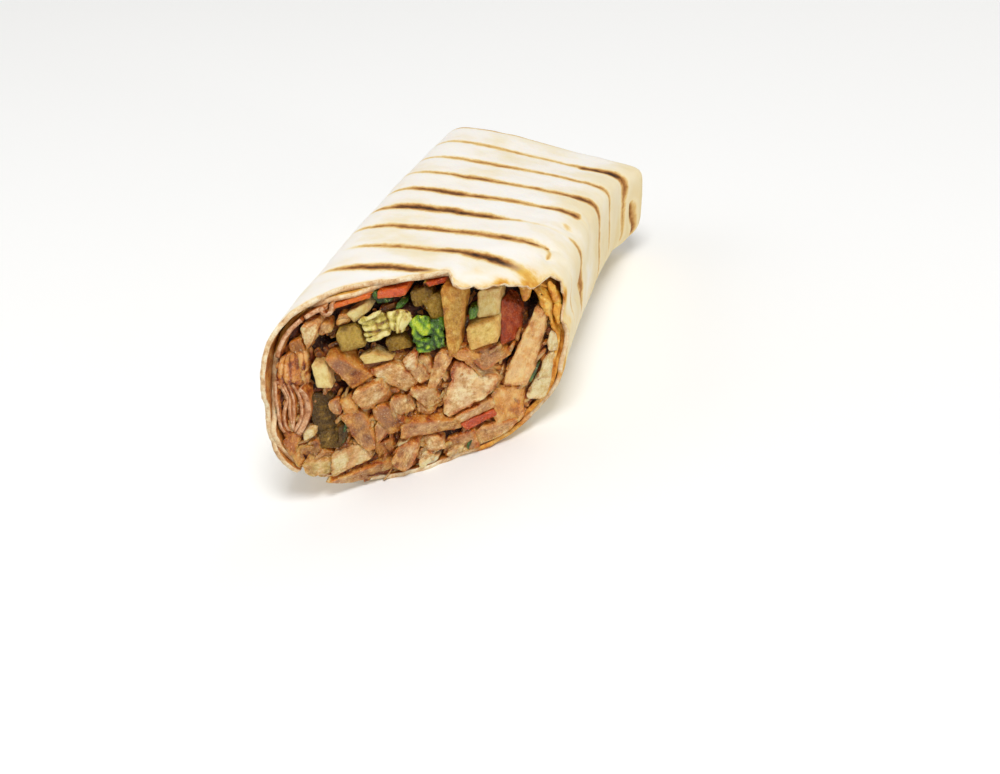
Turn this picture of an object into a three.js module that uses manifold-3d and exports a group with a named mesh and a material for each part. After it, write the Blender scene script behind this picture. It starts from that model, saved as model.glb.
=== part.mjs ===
// One half of a grilled gyro wrap: a thin flatbread rolled almost twice round chicken,
// vegetables and fries, folded shut at its far end and cut through on a slant.
// Millimetres. X runs across the wrap, Y along it from the cut to the folded end, Z up.

import * as THREE from 'three';
import { mergeVertices } from 'three/addons/utils/BufferGeometryUtils.js';
import Module from 'manifold-3d';

const { clamp, lerp, degToRad } = THREE.MathUtils;
const wasm = await Module();
wasm.setup();

// ---- driving dimensions ----------------------------------------------------------------

// the roll
const LENGTH = 139;
const WIDTH_AT_CUT = 60;
const WIDTH_AT_END = 52;
const HEIGHT_AT_CUT = 50.5;
const HEIGHT_AT_END = 31;
const WAIST = -1.2;
const SIDE_BEND = -2.6;
const SIDE_DRIFT = -1.5;
const TILT_AT_CUT = 0.07;
const TILT_AT_END = -0.2;
const RESTING_DEPTH = 0.6;
const SLANT_PASSES = 8;

// how square each quarter of the section is: 2 is an ellipse, more is a tighter corner
const LEFT_SHOULDER = 4.7;
const RIDGE_AT_CUT = 1.7;
const RIDGE_AT_END = 17;
const LEFT_HIP = 2.2;
const RIGHT_HIP = 2.55;

// the folded end
const END_ROUND = 1.4;
const END_DOME = 1.2;
const END_FOLD = 0.8;
const END_ROWS = [0.93, 0.96, 0.985, 1];
const END_SHARES = [0.7, 0.35];
const FOLD_LINE = { slope: 0.5, from: 11, to: 14 };
const FLARE = 3.5;
const FLARE_LENGTH = 16;

// the slanted cut, and the lip of the outer layer that hangs over its right half
const CUT_SLANT = degToRad(43.8);
const CUT_LEAN = degToRad(7.9);
const CUT_PIVOT = { x: -30, z: 22 };
const LIP_OUT = 7;
const LIP_DROP = 1.5;
const LIP_REACH = 14;
const LIP_FROM = 1;
const LIP_TO = 20.5;
const LIP_START = 4;
const LIP_FADE = 3;

// the torn edge's uneven line, and the ruffles that the folding left on the right side
const EDGE_WAVE = 0.9;
const EDGE_WAVES = [{ size: 1, rate: 29, phase: 0 }, { size: 0.6, rate: 61, phase: 1 }];
const RUFFLE = 0.5;
const RUFFLES_PER_TURN = 13;
const RUFFLE_AT = 0.27;
const RUFFLE_WIDTH = 0.16;
const RUFFLE_REACH = 45;

// the bread: its inner end starts at the lower right, its outer end stops at the lower left
const BREAD = 1.3;
const LAYER_GAP = 0.4;
const GAP = 0.45;
const STEPS_PER_TURN = 40;
const INNER_END = 0.1;
const OUTER_END = 1.85;
const DIVE_FROM = 0.855;
const DIVE_TO = 0.93;
const INNER_SAG = 2.2;
const INNER_SAG_AT = 0.315;
const INNER_SAG_WIDTH = 0.08;
const INNER_SAG_REACH = 0.5;
const LENGTH_STEPS = 12;

// the tucked pleats inside the left wall
const PLEATS = [-3.6, -1.2, 1.2, 3.6];
const PLEAT_HEIGHT = 18.5;
const PLEAT_DEPTH = 15;
const PLEAT_AT = [-25.3, 27.8];
const PLEAT_THINNED = 0.9;
const PLEAT_SET_BACK = 0.3;
const POCKET_MARGIN = 3;
const POCKET_PINCH = 0.2;

// the filling
const CORE_FRONT = 0.045;
const CORE_END = 0.905;
const HOLLOW_FRONT = -0.08;
const ROOM_INSET = BREAD * 3;
const SHRED_DEPTH = 11;
const SHRED_ROUGHNESS = 0.12;
const PILLOW = 0.16;
const LEAF_THICKNESS = 1.5;
const LEAF_ROUND_SIDES = 0.18;
const LEAF_ROUND_ENDS = 0.12;

// how matt the bread and the pieces look
const BREAD_ROUGHNESS = 0.8;
const PIECE_ROUGHNESS = 0.5;

// the middle of the footprint, in the roll's own frame
const FOOTPRINT_MIDDLE = { x: -1.261, y: 70.292 };

// ---- helpers ---------------------------------------------------------------------------

function smooth(value, from, to) {
  const t = clamp((value - from) / (to - from), 0, 1);
  return t * t * (3 - 2 * t);
}

function bump(value, middle, halfWidth) {
  const t = Math.min(1, Math.abs(value - middle) / halfWidth);
  return (1 - t * t) ** 2;
}

// a small repeatable random source, so that every build gives the same filling
function makeRandom(seed) {
  let state = seed;
  return () => {
    state = (state * 1664525 + 1013904223) % 4294967296;
    return state / 4294967296;
  };
}

function toSolid(geometry) {
  geometry.deleteAttribute('normal');
  geometry.deleteAttribute('uv');
  const merged = mergeVertices(geometry, 1e-4);
  return new wasm.Manifold(new wasm.Mesh({
    numProp: 3,
    vertProperties: merged.attributes.position.array,
    triVerts: new Uint32Array(merged.index.array),
  }));
}

function toGeometry(solid) {
  const mesh = solid.getMesh();
  const geometry = new THREE.BufferGeometry();
  geometry.setAttribute('position', new THREE.BufferAttribute(mesh.vertProperties, 3));
  geometry.setIndex(new THREE.BufferAttribute(mesh.triVerts, 1));
  geometry.computeVertexNormals();
  return geometry;
}

function joinAll(solids) {
  return solids.reduce((whole, solid) => whole.add(solid));
}

// a cut can leave loose scraps: only the largest piece is kept
function largestPiece(solid) {
  const pieces = solid.decompose();
  return pieces.reduce((best, piece) => (piece.volume() > best.volume() ? piece : best));
}

// ---- the outer form of the roll --------------------------------------------------------

function squareness(right, top, along) {
  if (top && right) return lerp(RIDGE_AT_CUT, RIDGE_AT_END, clamp(along, 0, 1) ** 2);
  if (top) return LEFT_SHOULDER;
  return right ? RIGHT_HIP : LEFT_HIP;
}

// a point of the roll's section at y: a rounded oblong whose four quarters differ,
// flattened underneath, and shrunk all round by inset
function sectionPoint(angle, y, inset) {
  const along = clamp(y / LENGTH, -0.3, 1.1);
  const middle = 4 * along * (1 - along);
  const halfWidth = lerp(WIDTH_AT_CUT, WIDTH_AT_END, along) / 2 + WAIST * middle;
  const height = lerp(HEIGHT_AT_CUT, HEIGHT_AT_END, along);
  const across = Math.cos(angle);
  const upward = Math.sin(angle);
  const power = 2 / squareness(across > 0, upward > 0, along);
  const x = Math.sign(across) * Math.abs(across) ** power * (halfWidth - inset);
  const rise = Math.sign(upward) * Math.abs(upward) ** power * (height / 2 - inset);
  const tilt = lerp(TILT_AT_CUT, TILT_AT_END, along) * x / height;
  const z = (height / 2 + rise) * (1 + tilt);
  const flare = FLARE * smooth(y, LENGTH - FLARE_LENGTH, LENGTH - END_ROUND);
  return {
    x: x + SIDE_DRIFT * along + SIDE_BEND * middle + flare * clamp(x / halfWidth, 0, 1) ** 2,
    y,
    z: Math.max(z, RESTING_DEPTH + inset),
  };
}

function cutY(x, z) {
  return (x - CUT_PIVOT.x) * Math.tan(CUT_SLANT) + (z - CUT_PIVOT.z) * Math.tan(CUT_LEAN);
}

// row 0 lies in the cut, row 1 in the folded end: the planes between turn evenly
function slantedPoint(angle, row, inset) {
  let point = sectionPoint(angle, LENGTH / 2, inset);
  for (let pass = 0; pass < SLANT_PASSES; pass += 1) {
    const front = cutY(point.x, point.z);
    point = sectionPoint(angle, front + (LENGTH - front) * row, inset);
  }
  return point;
}

// the angles that share one row's girth out evenly, from the middle of the underside
const SAMPLES = 240;
const rowTables = new Map();

function rowTable(row) {
  if (!rowTables.has(row)) {
    const angles = [];
    const lengths = [0];
    let last = slantedPoint(-Math.PI / 2, row, 0);
    for (let i = 0; i <= SAMPLES; i += 1) {
      const angle = -Math.PI / 2 + i / SAMPLES * 2 * Math.PI;
      const point = slantedPoint(angle, row, 0);
      angles.push(angle);
      if (i > 0) lengths.push(lengths[i - 1] + Math.hypot(point.x - last.x, point.z - last.z));
      last = point;
    }
    rowTables.set(row, { angles, lengths });
  }
  return rowTables.get(row);
}

function angleAt(turn, row) {
  const { angles, lengths } = rowTable(row);
  const wanted = (turn - Math.floor(turn)) * lengths[SAMPLES];
  let i = 1;
  while (i < SAMPLES && lengths[i] < wanted) i += 1;
  const share = (wanted - lengths[i - 1]) / (lengths[i] - lengths[i - 1]);
  return lerp(angles[i - 1], angles[i], share);
}

// how much the bread is ruffled at one place of the roll
function ruffleAt(turn, depth) {
  const near = clamp(1 - depth / RUFFLE_REACH, 0, 1);
  const here = bump(turn - Math.floor(turn), RUFFLE_AT, RUFFLE_WIDTH) * near;
  return RUFFLE * here * (1 - Math.cos(turn * 2 * Math.PI * RUFFLES_PER_TURN));
}

// a point of the roll: turn goes round from the underside by the right, the top and the
// left, row goes from the cut to the end, inset is the depth below the outer face, and
// lipShare says how far the place reaches out with the lip
function rollPoint(turn, row, inset, lipShare = 0) {
  const angle = angleAt(turn, row);
  const plain = slantedPoint(angle, row, inset);
  const depth = plain.y - cutY(plain.x, plain.z);
  const endShare = clamp((plain.y - LENGTH + END_ROUND) / END_ROUND, 0, 1);
  const rounding = END_ROUND * (1 - Math.sqrt(1 - endShare ** 2));
  const point = slantedPoint(angle, row, inset + rounding + ruffleAt(turn, depth));
  const near = clamp(1 - depth / LIP_REACH, 0, 1) ** 2;
  const lipStart = smooth(point.x, LIP_FROM, LIP_FROM + LIP_START);
  const lip = lipStart * (1 - smooth(point.x, LIP_TO - LIP_FADE, LIP_TO));
  const hanging = point.z > HEIGHT_AT_CUT / 2 ? lip * near : 0;
  const waves = EDGE_WAVES.map(({ size, rate, phase }) => size * Math.sin(turn * rate + phase));
  const wave = EDGE_WAVE * near * waves.reduce((total, value) => total + value);
  return new THREE.Vector3(
    point.x,
    point.y - LIP_OUT * hanging * lipShare + wave,
    point.z - LIP_DROP * hanging,
  );
}

const ROWS = Array.from({ length: LENGTH_STEPS + 1 },
  (_, i) => (1 - Math.cos(Math.PI * i / LENGTH_STEPS)) / 2);

// ---- the bread -------------------------------------------------------------------------

// how deep the middle of the sheet lies: the first turn inside, the rest outside
function layerDepth(turn, row) {
  const inner = BREAD * 1.5 + LAYER_GAP;
  const outer = BREAD / 2;
  const near = clamp(1 - row / INNER_SAG_REACH, 0, 1);
  const loose = INNER_SAG * bump(turn, INNER_SAG_AT, INNER_SAG_WIDTH) * near;
  return lerp(inner, outer, smooth(turn, DIVE_FROM, DIVE_TO)) + loose;
}

function breadSheet() {
  const turns = OUTER_END - INNER_END;
  const steps = Math.round(turns * STEPS_PER_TURN);
  const geometry = new THREE.BoxGeometry(1, 1, 1, steps, 1, LENGTH_STEPS);
  const places = geometry.attributes.position;
  for (let i = 0; i < places.count; i += 1) {
    const turn = INNER_END + turns * (places.getX(i) + 0.5);
    const row = ROWS[Math.round((places.getZ(i) + 0.5) * LENGTH_STEPS)];
    const inset = layerDepth(turn, row) - places.getY(i) * BREAD;
    const onOuter = smooth(turn, DIVE_FROM, DIVE_TO);
    places.setXYZ(i, ...rollPoint(turn, row, inset, onOuter).toArray());
  }
  return toSolid(geometry);
}

// a closed loft round the roll: one ring of points for each row, shut by a point at each end
function loft(rowCount, ringPoint, capPoint) {
  const geometry = new THREE.SphereGeometry(1, STEPS_PER_TURN, rowCount + 1);
  const places = geometry.attributes.position;
  const perRow = STEPS_PER_TURN + 1;
  for (let i = 0; i < places.count; i += 1) {
    const ring = Math.floor(i / perRow) - 1;
    const turn = INNER_END + (i % perRow) / STEPS_PER_TURN;
    const capped = ring < 0 || ring >= rowCount;
    const point = capped ? capPoint(ring < 0) : ringPoint(turn - Math.floor(turn), ring);
    places.setXYZ(i, ...point.toArray());
  }
  return toSolid(geometry);
}

function ringMiddle(row, inset) {
  const middle = new THREE.Vector3();
  for (let i = 0; i < STEPS_PER_TURN; i += 1) {
    middle.add(rollPoint(i / STEPS_PER_TURN, row, inset));
  }
  return middle.divideScalar(STEPS_PER_TURN);
}

// the end is shut by the sheet's own folded-over edge: a shallow dome with one crossing fold
function foldedEnd() {
  const middle = ringMiddle(1, BREAD);
  const onFace = (point, share) => {
    const across = point.z + FOLD_LINE.slope * point.x;
    const fold = END_FOLD * smooth(across, FOLD_LINE.from, FOLD_LINE.to);
    const dome = END_DOME * (1 - share ** 2);
    return new THREE.Vector3(point.x, LENGTH + dome - END_FOLD + fold, point.z);
  };
  const ringPoint = (turn, ring) => {
    if (ring < END_ROWS.length) return rollPoint(turn, END_ROWS[ring], BREAD / 2);
    const share = END_SHARES[ring - END_ROWS.length];
    return onFace(rollPoint(turn, 1, BREAD / 2).lerp(middle, 1 - share), share);
  };
  const capPoint = (front) => (front ? ringMiddle(END_ROWS[0], BREAD) : onFace(middle.clone(), 0));
  return loft(END_ROWS.length + END_SHARES.length, ringPoint, capPoint);
}

// ---- pieces at the cut -----------------------------------------------------------------

// places a piece modelled facing +Z: its face lies in the cut, its depth runs along the roll
function atCut(geometry, at, turn) {
  const [x, z] = at;
  const across = new THREE.Vector3(Math.cos(CUT_SLANT), Math.sin(CUT_SLANT), 0);
  const upward = new THREE.Vector3(0, Math.tan(CUT_LEAN), 1).normalize();
  const outward = new THREE.Vector3(0, -1, 0);
  const frame = new THREE.Matrix4().makeBasis(across, upward, outward);
  frame.setPosition(x, cutY(x, z), z);
  geometry.rotateZ(degToRad(turn));
  return geometry.applyMatrix4(frame);
}

// a soft-edged block: every piece of meat, stick, cube and slice starts as one
function block(piece, grow = 0) {
  const { at, size, turn = 0, out = 0, deep = 10, taper = 0, pinch = 0, bend = 0, rough = 0 } = piece;
  const [width, height] = size;
  const geometry = new THREE.BoxGeometry(2, 2, 2, 2, 2, 1);
  const places = geometry.attributes.position;
  const random = makeRandom(Math.round(1000 + at[0] * 37 + at[1] * 91));
  const jitter = new Map();
  for (let i = 0; i < places.count; i += 1) {
    const [u, v, w] = [places.getX(i), places.getY(i), places.getZ(i)];
    const key = `${u},${v},${w}`;
    if (!jitter.has(key)) jitter.set(key, [random() - 0.5, random() - 0.5, random() - 0.5]);
    const [ju, jv, jw] = jitter.get(key).map((value) => value * rough);
    const soft = 1 - PILLOW * Math.abs(u * v);
    const narrow = (1 + taper * v) * (1 - pinch * v * v);
    const x = u * soft * narrow * (width / 2 + grow) * (1 + ju);
    const y = v * soft * (height / 2 + grow) * (1 + jv) + bend * (u * u - 0.5);
    const front = out + grow + (w > 0 ? jw * width * 0.5 : 0);
    const back = -deep - grow;
    places.setXYZ(i, x, y, w > 0 ? front : back);
  }
  return toSolid(atCut(geometry, at, turn));
}

// a leaf: a thin sheet with pleats across it and a rounded outline, both faces alike
function leaf(piece, grow = 0) {
  const { at, size, turn = 0, out = 0, pleats = 2, wave = 0.8, curl = 1 } = piece;
  const [width, height] = size;
  const thickness = LEAF_THICKNESS + 2 * grow;
  const geometry = new THREE.BoxGeometry(2, 2, 1, 8, 5, 1);
  const places = geometry.attributes.position;
  for (let i = 0; i < places.count; i += 1) {
    const [u, v, w] = [places.getX(i), places.getY(i), places.getZ(i)];
    const x = u * (width / 2 + grow) * (1 - LEAF_ROUND_SIDES * v * v);
    const y = v * (height / 2 + grow) * (1 - LEAF_ROUND_ENDS * u * u);
    const ripple = wave * Math.sin(2 * x / width * Math.PI * pleats);
    const curled = curl * (2 * y / height) ** 2;
    places.setXYZ(i, x, y, out + ripple - curled + w * thickness);
  }
  return toSolid(atCut(geometry, at, turn));
}

const SHAPES = { block, leaf };

const COLOURS = {
  bread: 0xeadfc6,
  meat: 0xd9a587,
  lettuce: 0x7fae2e,
  cabbage: 0xc9cf7a,
  pickle: 0x8b8446,
  tomato: 0xc2543a,
  carrot: 0xd9702a,
  fry: 0xdcc48a,
  onion: 0xe6dccb,
};

// the separate pieces that show at the cut: name, colour, place [x, z] in the roll's frame,
// size across and up, and the rest of the shape
const PIECES = [
  ['tomato_wedge', 'tomato', [12.8, 28.9], [6, 11], { out: -1.2, deep: 16 }],
  ['fry_block', 'fry', [7.8, 31.6], [8, 12.4], { turn: -3, out: 1, deep: 24, taper: -0.16 }],
  ['fry_tapered', 'fry', [3, 33.7], [5.4, 15.6], { turn: -4, out: 1.2, deep: 20, taper: 0.4 }],
  ['pickle_top_right', 'pickle', [-1.2, 37], [4.4, 7.2], { turn: 14, out: -1.5, deep: 14 }],
  ['pickle_top_left', 'pickle', [-4.2, 39.8], [4.2, 4.4], { turn: 8, out: -2, deep: 14 }],
  ['lettuce_light', 'lettuce', [-3.4, 32.4], [5.4, 8.8], { turn: 12, out: 1.6, shape: 'leaf' }],
  ['lettuce_dark', 'lettuce', [-0.6, 30.8], [3.6, 8], { turn: 10, out: 0.2, shape: 'leaf', pleats: 1 }],
  ['cabbage_left', 'cabbage', [-11.4, 37.5], [8, 5.6], { turn: 4, out: 1, shape: 'leaf', pleats: 2.5 }],
  ['cabbage_right', 'cabbage', [-7, 37.1], [4, 5.8], { turn: 8, out: 0.6, shape: 'leaf', pleats: 1.5 }],
  ['pickle_cube_left', 'pickle', [-15.8, 36.2], [5.6, 6], { turn: 6, deep: 9 }],
  ['pickle_cube_right', 'pickle', [-7.6, 31.5], [5.4, 4.4], { turn: 4, out: -1, deep: 9 }],
  ['potato_cube', 'fry', [-14, 41], [5, 2.9], { turn: 15, out: -1, deep: 10 }],
  ['carrot_left', 'carrot', [-15.1, 43.6], [8.2, 1.7], { turn: -3, deep: 12, bend: -0.6 }],
  ['carrot_middle', 'carrot', [-7.3, 42.5], [4.3, 1.6], { turn: -6, deep: 10 }],
  ['carrot_right', 'carrot', [-1.2, 42.2], [5.3, 1.6], { turn: -2, out: -0.5, deep: 10 }],
  ['lettuce_top', 'lettuce', [-10.3, 41.5], [3.4, 2.6], { turn: 8, out: -1, shape: 'leaf', pleats: 1 }],
  ['fry_thin', 'fry', [-11.1, 30.5], [7, 2.2], { turn: -6, out: 0.5, deep: 8 }],
  ['fry_left', 'fry', [-20, 29.8], [4.2, 6.8], { turn: 10, out: 0.8, deep: 22 }],
  ['pickle_slice', 'pickle', [-19.2, 17.9], [7.4, 13.6], { turn: 8, out: -1.5, deep: 7, pinch: 0.25 }],
  ['onion_small', 'onion', [-22.8, 17], [2.8, 2.8], { out: 0.5, deep: 6 }],
  ['onion_curved', 'onion', [-17.8, 8.8], [14.5, 4.2], { turn: -6, out: 0.5, deep: 12, bend: 1.4 }],
  ['onion_right', 'onion', [20.4, 18.5], [2.6, 17], { turn: -8, deep: 14 }],
  ['chicken_strip', 'meat', [16.2, 21.8], [5.4, 17.4], { turn: -19, out: 1, deep: 12, rough: 0.1 }],
  ['carrot_low', 'carrot', [7.6, 8.4], [8.8, 2.2], { turn: 8, deep: 10 }],
];

// the chicken is one heap: shreds and blocks fused to the core that runs through the wrap
const SHREDS = [
  { at: [-12, 26.6], size: [22, 2.8], turn: -32, bend: -1.6 },
  { at: [-8.2, 27.8], size: [8, 2], turn: -8 },
  { at: [-4.8, 26.8], size: [3.6, 4.6], turn: 20 },
  { at: [0.5, 23.4], size: [4, 8.4], turn: -30, out: 2 },
  { at: [-3, 24.4], size: [3, 6], turn: -35, out: 1 },
  { at: [5.4, 17.4], size: [12, 11], turn: -20, out: 1.5 },
  { at: [9, 21.4], size: [9, 5], turn: -35 },
  { at: [-11.8, 22], size: [9, 5.4], turn: -8, out: 1.5 },
  { at: [-17.7, 21.6], size: [3, 4.4], turn: 15, out: 1 },
  { at: [-14, 15], size: [5, 10.4], turn: 22, out: 1 },
  { at: [-10.2, 12.8], size: [4.4, 6], turn: 8 },
  { at: [-7.8, 16.4], size: [9, 7], turn: -30 },
  { at: [-3, 18], size: [10, 6], turn: -35, out: 0.5 },
  { at: [-0.8, 11.4], size: [14, 4.2], turn: -20, out: 1.8 },
  { at: [7, 11.4], size: [8.4, 2.4], turn: 5, out: 0.5 },
  { at: [-5.3, 5.4], size: [4.6, 8], turn: -30, out: 1.5 },
  { at: [-0.4, 5.8], size: [6.6, 4.6], turn: -10, out: 0.5 },
  { at: [14, 9.6], size: [11, 7.6], turn: 20, out: 0.5 },
  { at: [-22.6, 40], size: [5.2, 6], turn: 10, out: 0.5 },
  { at: [-19.2, 39.8], size: [3.4, 3.4], turn: -20 },
  { at: [-25, 12.6], size: [3.6, 6], turn: -10 },
  { at: [4, 4.4], size: [9, 3.8], turn: 0 },
  { at: [11, 5], size: [8, 3.6], turn: 10 },
];

function shredSolid(shred) {
  return block({ deep: SHRED_DEPTH, rough: SHRED_ROUGHNESS, ...shred });
}

// ---- the hollow inside the bread, and what fills it -------------------------------------

// how deep the innermost face of the bread lies at one place round the roll
function innerFace(turn, row) {
  const turns = [turn, turn + 1].filter((t) => t >= INNER_END && t <= OUTER_END);
  return Math.max(...turns.map((t) => layerDepth(t, row))) + BREAD / 2;
}

function hollowDepth(turn, row) {
  const step = 1 / STEPS_PER_TURN;
  const around = [turn - step, turn, turn + step].map((t) => t - Math.floor(t));
  return Math.max(...around.map((t) => innerFace(t, row))) + GAP;
}

function hollow(rows) {
  const ringPoint = (turn, ring) => rollPoint(turn, rows[ring], hollowDepth(turn, rows[ring]));
  const capPoint = (front) => ringMiddle(front ? rows[0] : rows[rows.length - 1], ROOM_INSET);
  return loft(rows.length, ringPoint, capPoint);
}

// ---- the pleats of bread tucked inside the left wall ------------------------------------

function pleat(offset) {
  const geometry = new THREE.BoxGeometry(BREAD * PLEAT_THINNED, 2, PLEAT_DEPTH, 1, 8, 1);
  const places = geometry.attributes.position;
  for (let i = 0; i < places.count; i += 1) {
    const v = places.getY(i);
    const x = places.getX(i) + offset * Math.cos(v * Math.PI / 2);
    const z = places.getZ(i) - PLEAT_DEPTH / 2 - PLEAT_SET_BACK;
    places.setXYZ(i, x, v * PLEAT_HEIGHT / 2, z);
  }
  return toSolid(atCut(geometry, PLEAT_AT, 0));
}

function pleatPocket() {
  const width = PLEATS[PLEATS.length - 1] * 2 + BREAD + POCKET_MARGIN;
  return block({
    at: PLEAT_AT,
    size: [width, PLEAT_HEIGHT + POCKET_MARGIN],
    deep: PLEAT_DEPTH + 1,
    out: POCKET_MARGIN,
    pinch: POCKET_PINCH,
  });
}

// ---- assembly --------------------------------------------------------------------------

function material(colour, roughness) {
  return new THREE.MeshStandardMaterial({ color: COLOURS[colour], roughness, metalness: 0 });
}

function addMesh(group, name, solid, colour, roughness) {
  const mesh = new THREE.Mesh(toGeometry(solid), material(colour, roughness));
  mesh.name = name;
  group.add(mesh);
}

const wrap = new THREE.Group();
wrap.name = 'gyro_wrap_half';
wrap.position.set(-FOOTPRINT_MIDDLE.x, -FOOTPRINT_MIDDLE.y, -RESTING_DEPTH);

const bread = joinAll([breadSheet(), foldedEnd(), ...PLEATS.map(pleat)]);
addMesh(wrap, 'flatbread', bread, 'bread', BREAD_ROUGHNESS);

const coreRows = ROWS.filter((row) => row > CORE_FRONT && row < CORE_END);
const roomRows = ROWS.filter((row) => row < CORE_END);
const core = hollow([CORE_FRONT, ...coreRows, CORE_END]);
const room = hollow([HOLLOW_FRONT, ...roomRows, CORE_END]).subtract(pleatPocket());

// each piece gives way to the ones before it in the list, with a narrow gap
const taken = [];
for (const [name, colour, at, size, rest] of PIECES) {
  const piece = { at, size, ...rest };
  const make = SHAPES[piece.shape ?? 'block'];
  let solid = make(piece).intersect(room);
  for (const cutter of taken) solid = solid.subtract(cutter);
  addMesh(wrap, name, largestPiece(solid), colour, PIECE_ROUGHNESS);
  taken.push(make(piece, GAP));
}

let filling = joinAll([core, ...SHREDS.map(shredSolid)]).intersect(room);
for (const cutter of taken) filling = filling.subtract(cutter);
addMesh(wrap, 'filling', largestPiece(filling), 'meat', PIECE_ROUGHNESS);

export default wrap;
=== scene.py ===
# %% [markdown]
# # Half a grilled wrap, cut on the slant
# A thin flatbread is rolled almost twice round chicken, vegetables and fries, pressed
# on a ribbed grill, and cut through. The solids give every piece its place. This
# lesson gives each of them its real surface: the bread, then the filling at the cut.

# %% Load the frame
import bmesh
import bpy
import math
import numpy as np
from mathutils import Matrix, Vector, noise


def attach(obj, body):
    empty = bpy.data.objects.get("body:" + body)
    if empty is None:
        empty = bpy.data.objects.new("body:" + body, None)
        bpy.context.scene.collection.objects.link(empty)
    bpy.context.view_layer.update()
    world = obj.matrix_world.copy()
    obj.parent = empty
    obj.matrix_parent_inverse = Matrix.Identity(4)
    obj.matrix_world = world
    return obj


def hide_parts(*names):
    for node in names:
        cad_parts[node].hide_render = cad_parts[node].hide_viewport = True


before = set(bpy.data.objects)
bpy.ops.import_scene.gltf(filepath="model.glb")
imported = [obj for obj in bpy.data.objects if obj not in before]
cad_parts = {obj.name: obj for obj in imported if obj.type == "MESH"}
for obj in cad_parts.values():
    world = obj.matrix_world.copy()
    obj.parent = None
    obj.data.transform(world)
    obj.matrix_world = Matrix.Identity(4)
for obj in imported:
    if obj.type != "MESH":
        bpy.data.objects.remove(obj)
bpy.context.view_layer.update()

# %% [markdown]
# ## Units, colours and nodes
# Food is easier to think about in millimetres, so every piece is made in millimetres in
# the roll's own frame, where y is 0 at the tip of the cut, and is moved into the frame of
# the solids at the very end. Colours are written as in a paint program and turned into
# the linear light that a shader works with. Food is uneven, which smooth noise gives. The
# noise starts from a fixed seed, so that every run gives the same wrap.

# %% Units, colours and one node helper
MM = 0.001
NOISE_SEED = 3
noise.seed_set(NOISE_SEED)
FOOTPRINT_MIDDLE = (-1.261, 70.292)
# the flat spot that the wrap rests on lies this high in the roll's own frame
RESTING_DEPTH = 0.6
TO_FRAME = Matrix.Scale(MM, 4) @ Matrix.Translation(
    (-FOOTPRINT_MIDDLE[0], -FOOTPRINT_MIDDLE[1], -RESTING_DEPTH))


def linear(hex_colour):
    """An sRGB hex colour as linear RGBA."""
    parts = [int(hex_colour[i:i + 2], 16) / 255 for i in (1, 3, 5)]
    return tuple(p / 12.92 if p <= 0.04045 else ((p + 0.055) / 1.055) ** 2.4 for p in parts) + (1.0,)


def per_mm(size):
    """The texture scale that makes features about this many millimetres across."""
    return 1 / (size * MM)


def add(tree, kind, inputs=None, ramp=None, out=0, **settings):
    """Adds a shader node with its settings, colour stops and input values or links, and gives one output."""
    made = tree.nodes.new("ShaderNode" + kind)
    for key, value in settings.items():
        setattr(made, key, value)
    if ramp:
        stops = made.color_ramp.elements
        while len(stops) < len(ramp):
            stops.new(0.5)
        for stop, (place, colour) in zip(stops, ramp):
            stop.position = place
            stop.color = linear(colour)
    for key, value in (inputs or {}).items():
        if isinstance(value, bpy.types.NodeSocket):
            tree.links.new(value, made.inputs[key])
        else:
            made.inputs[key].default_value = value
    return made.outputs[out] if made.outputs else made


def new_material(name):
    """An empty node material with its output, ready for a shader."""
    material = bpy.data.materials.new(name)
    material.use_nodes = True
    material.node_tree.nodes.clear()
    return material, material.node_tree


print("cream in linear light:", [round(v, 3) for v in linear("#f3ece0")[:3]])

# %% [markdown]
# ## Camera
# The camera looks down on the cut from the front at the height of someone about to pick
# the wrap up. A long lens keeps the far end nearly as wide as the near one. The small
# shift sets the wrap a little up and to the left in the picture.

# %% Camera
AZIMUTH = math.radians(13.943)
ELEVATION = math.radians(28.829)
CAMERA_ROLL = math.radians(-0.732)
CAMERA_DISTANCE = 398.7
AIM = Vector((0, 62.5, 18))
SENSOR = 36
LENS = 61.2
SHIFT = (0.0243, -0.0699)
back = Vector((math.sin(AZIMUTH) * math.cos(ELEVATION), -math.cos(AZIMUTH) * math.cos(ELEVATION),
               math.sin(ELEVATION)))
level = Vector((0, 0, 1)).cross(back).normalized()
upright = back.cross(level)
right = level * math.cos(CAMERA_ROLL) + upright * math.sin(CAMERA_ROLL)
up = upright * math.cos(CAMERA_ROLL) - level * math.sin(CAMERA_ROLL)
eye = TO_FRAME @ (AIM + back * CAMERA_DISTANCE)

camera = bpy.data.objects.new("camera", bpy.data.cameras.new("camera"))
camera.data.sensor_width = SENSOR
camera.data.lens = LENS
camera.data.shift_x, camera.data.shift_y = SHIFT
camera.data.clip_start = 0.01
camera.matrix_world = Matrix((right, up, back)).transposed().to_4x4()
camera.matrix_world.translation = eye
bpy.context.scene.collection.objects.link(camera)
bpy.context.scene.camera = camera
print("camera at", [round(v, 3) for v in eye])

# %% [markdown]
# ## Floor and light
# A white floor and big soft lights, as for a product picture: the strongest overhead and a
# little in front, weaker ones at the sides and behind, and a pale surround. Soft lights
# alone would leave wet food dull. One small lamp stands low at the right, where the wet
# cut mirrors it towards the camera as glints.

# %% Floor and light
FLOOR_SIZE = 4.0
SURROUND_STRENGTH = 0.38
LAMP_AIM = Vector((0, 0, 0.02))
floor_bm = bmesh.new()
bmesh.ops.create_grid(floor_bm, x_segments=1, y_segments=1, size=FLOOR_SIZE / 2)
floor_mesh = bpy.data.meshes.new("floor")
floor_bm.to_mesh(floor_mesh)
floor_bm.free()
floor = bpy.data.objects.new("floor", floor_mesh)
bpy.context.scene.collection.objects.link(floor)
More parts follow.
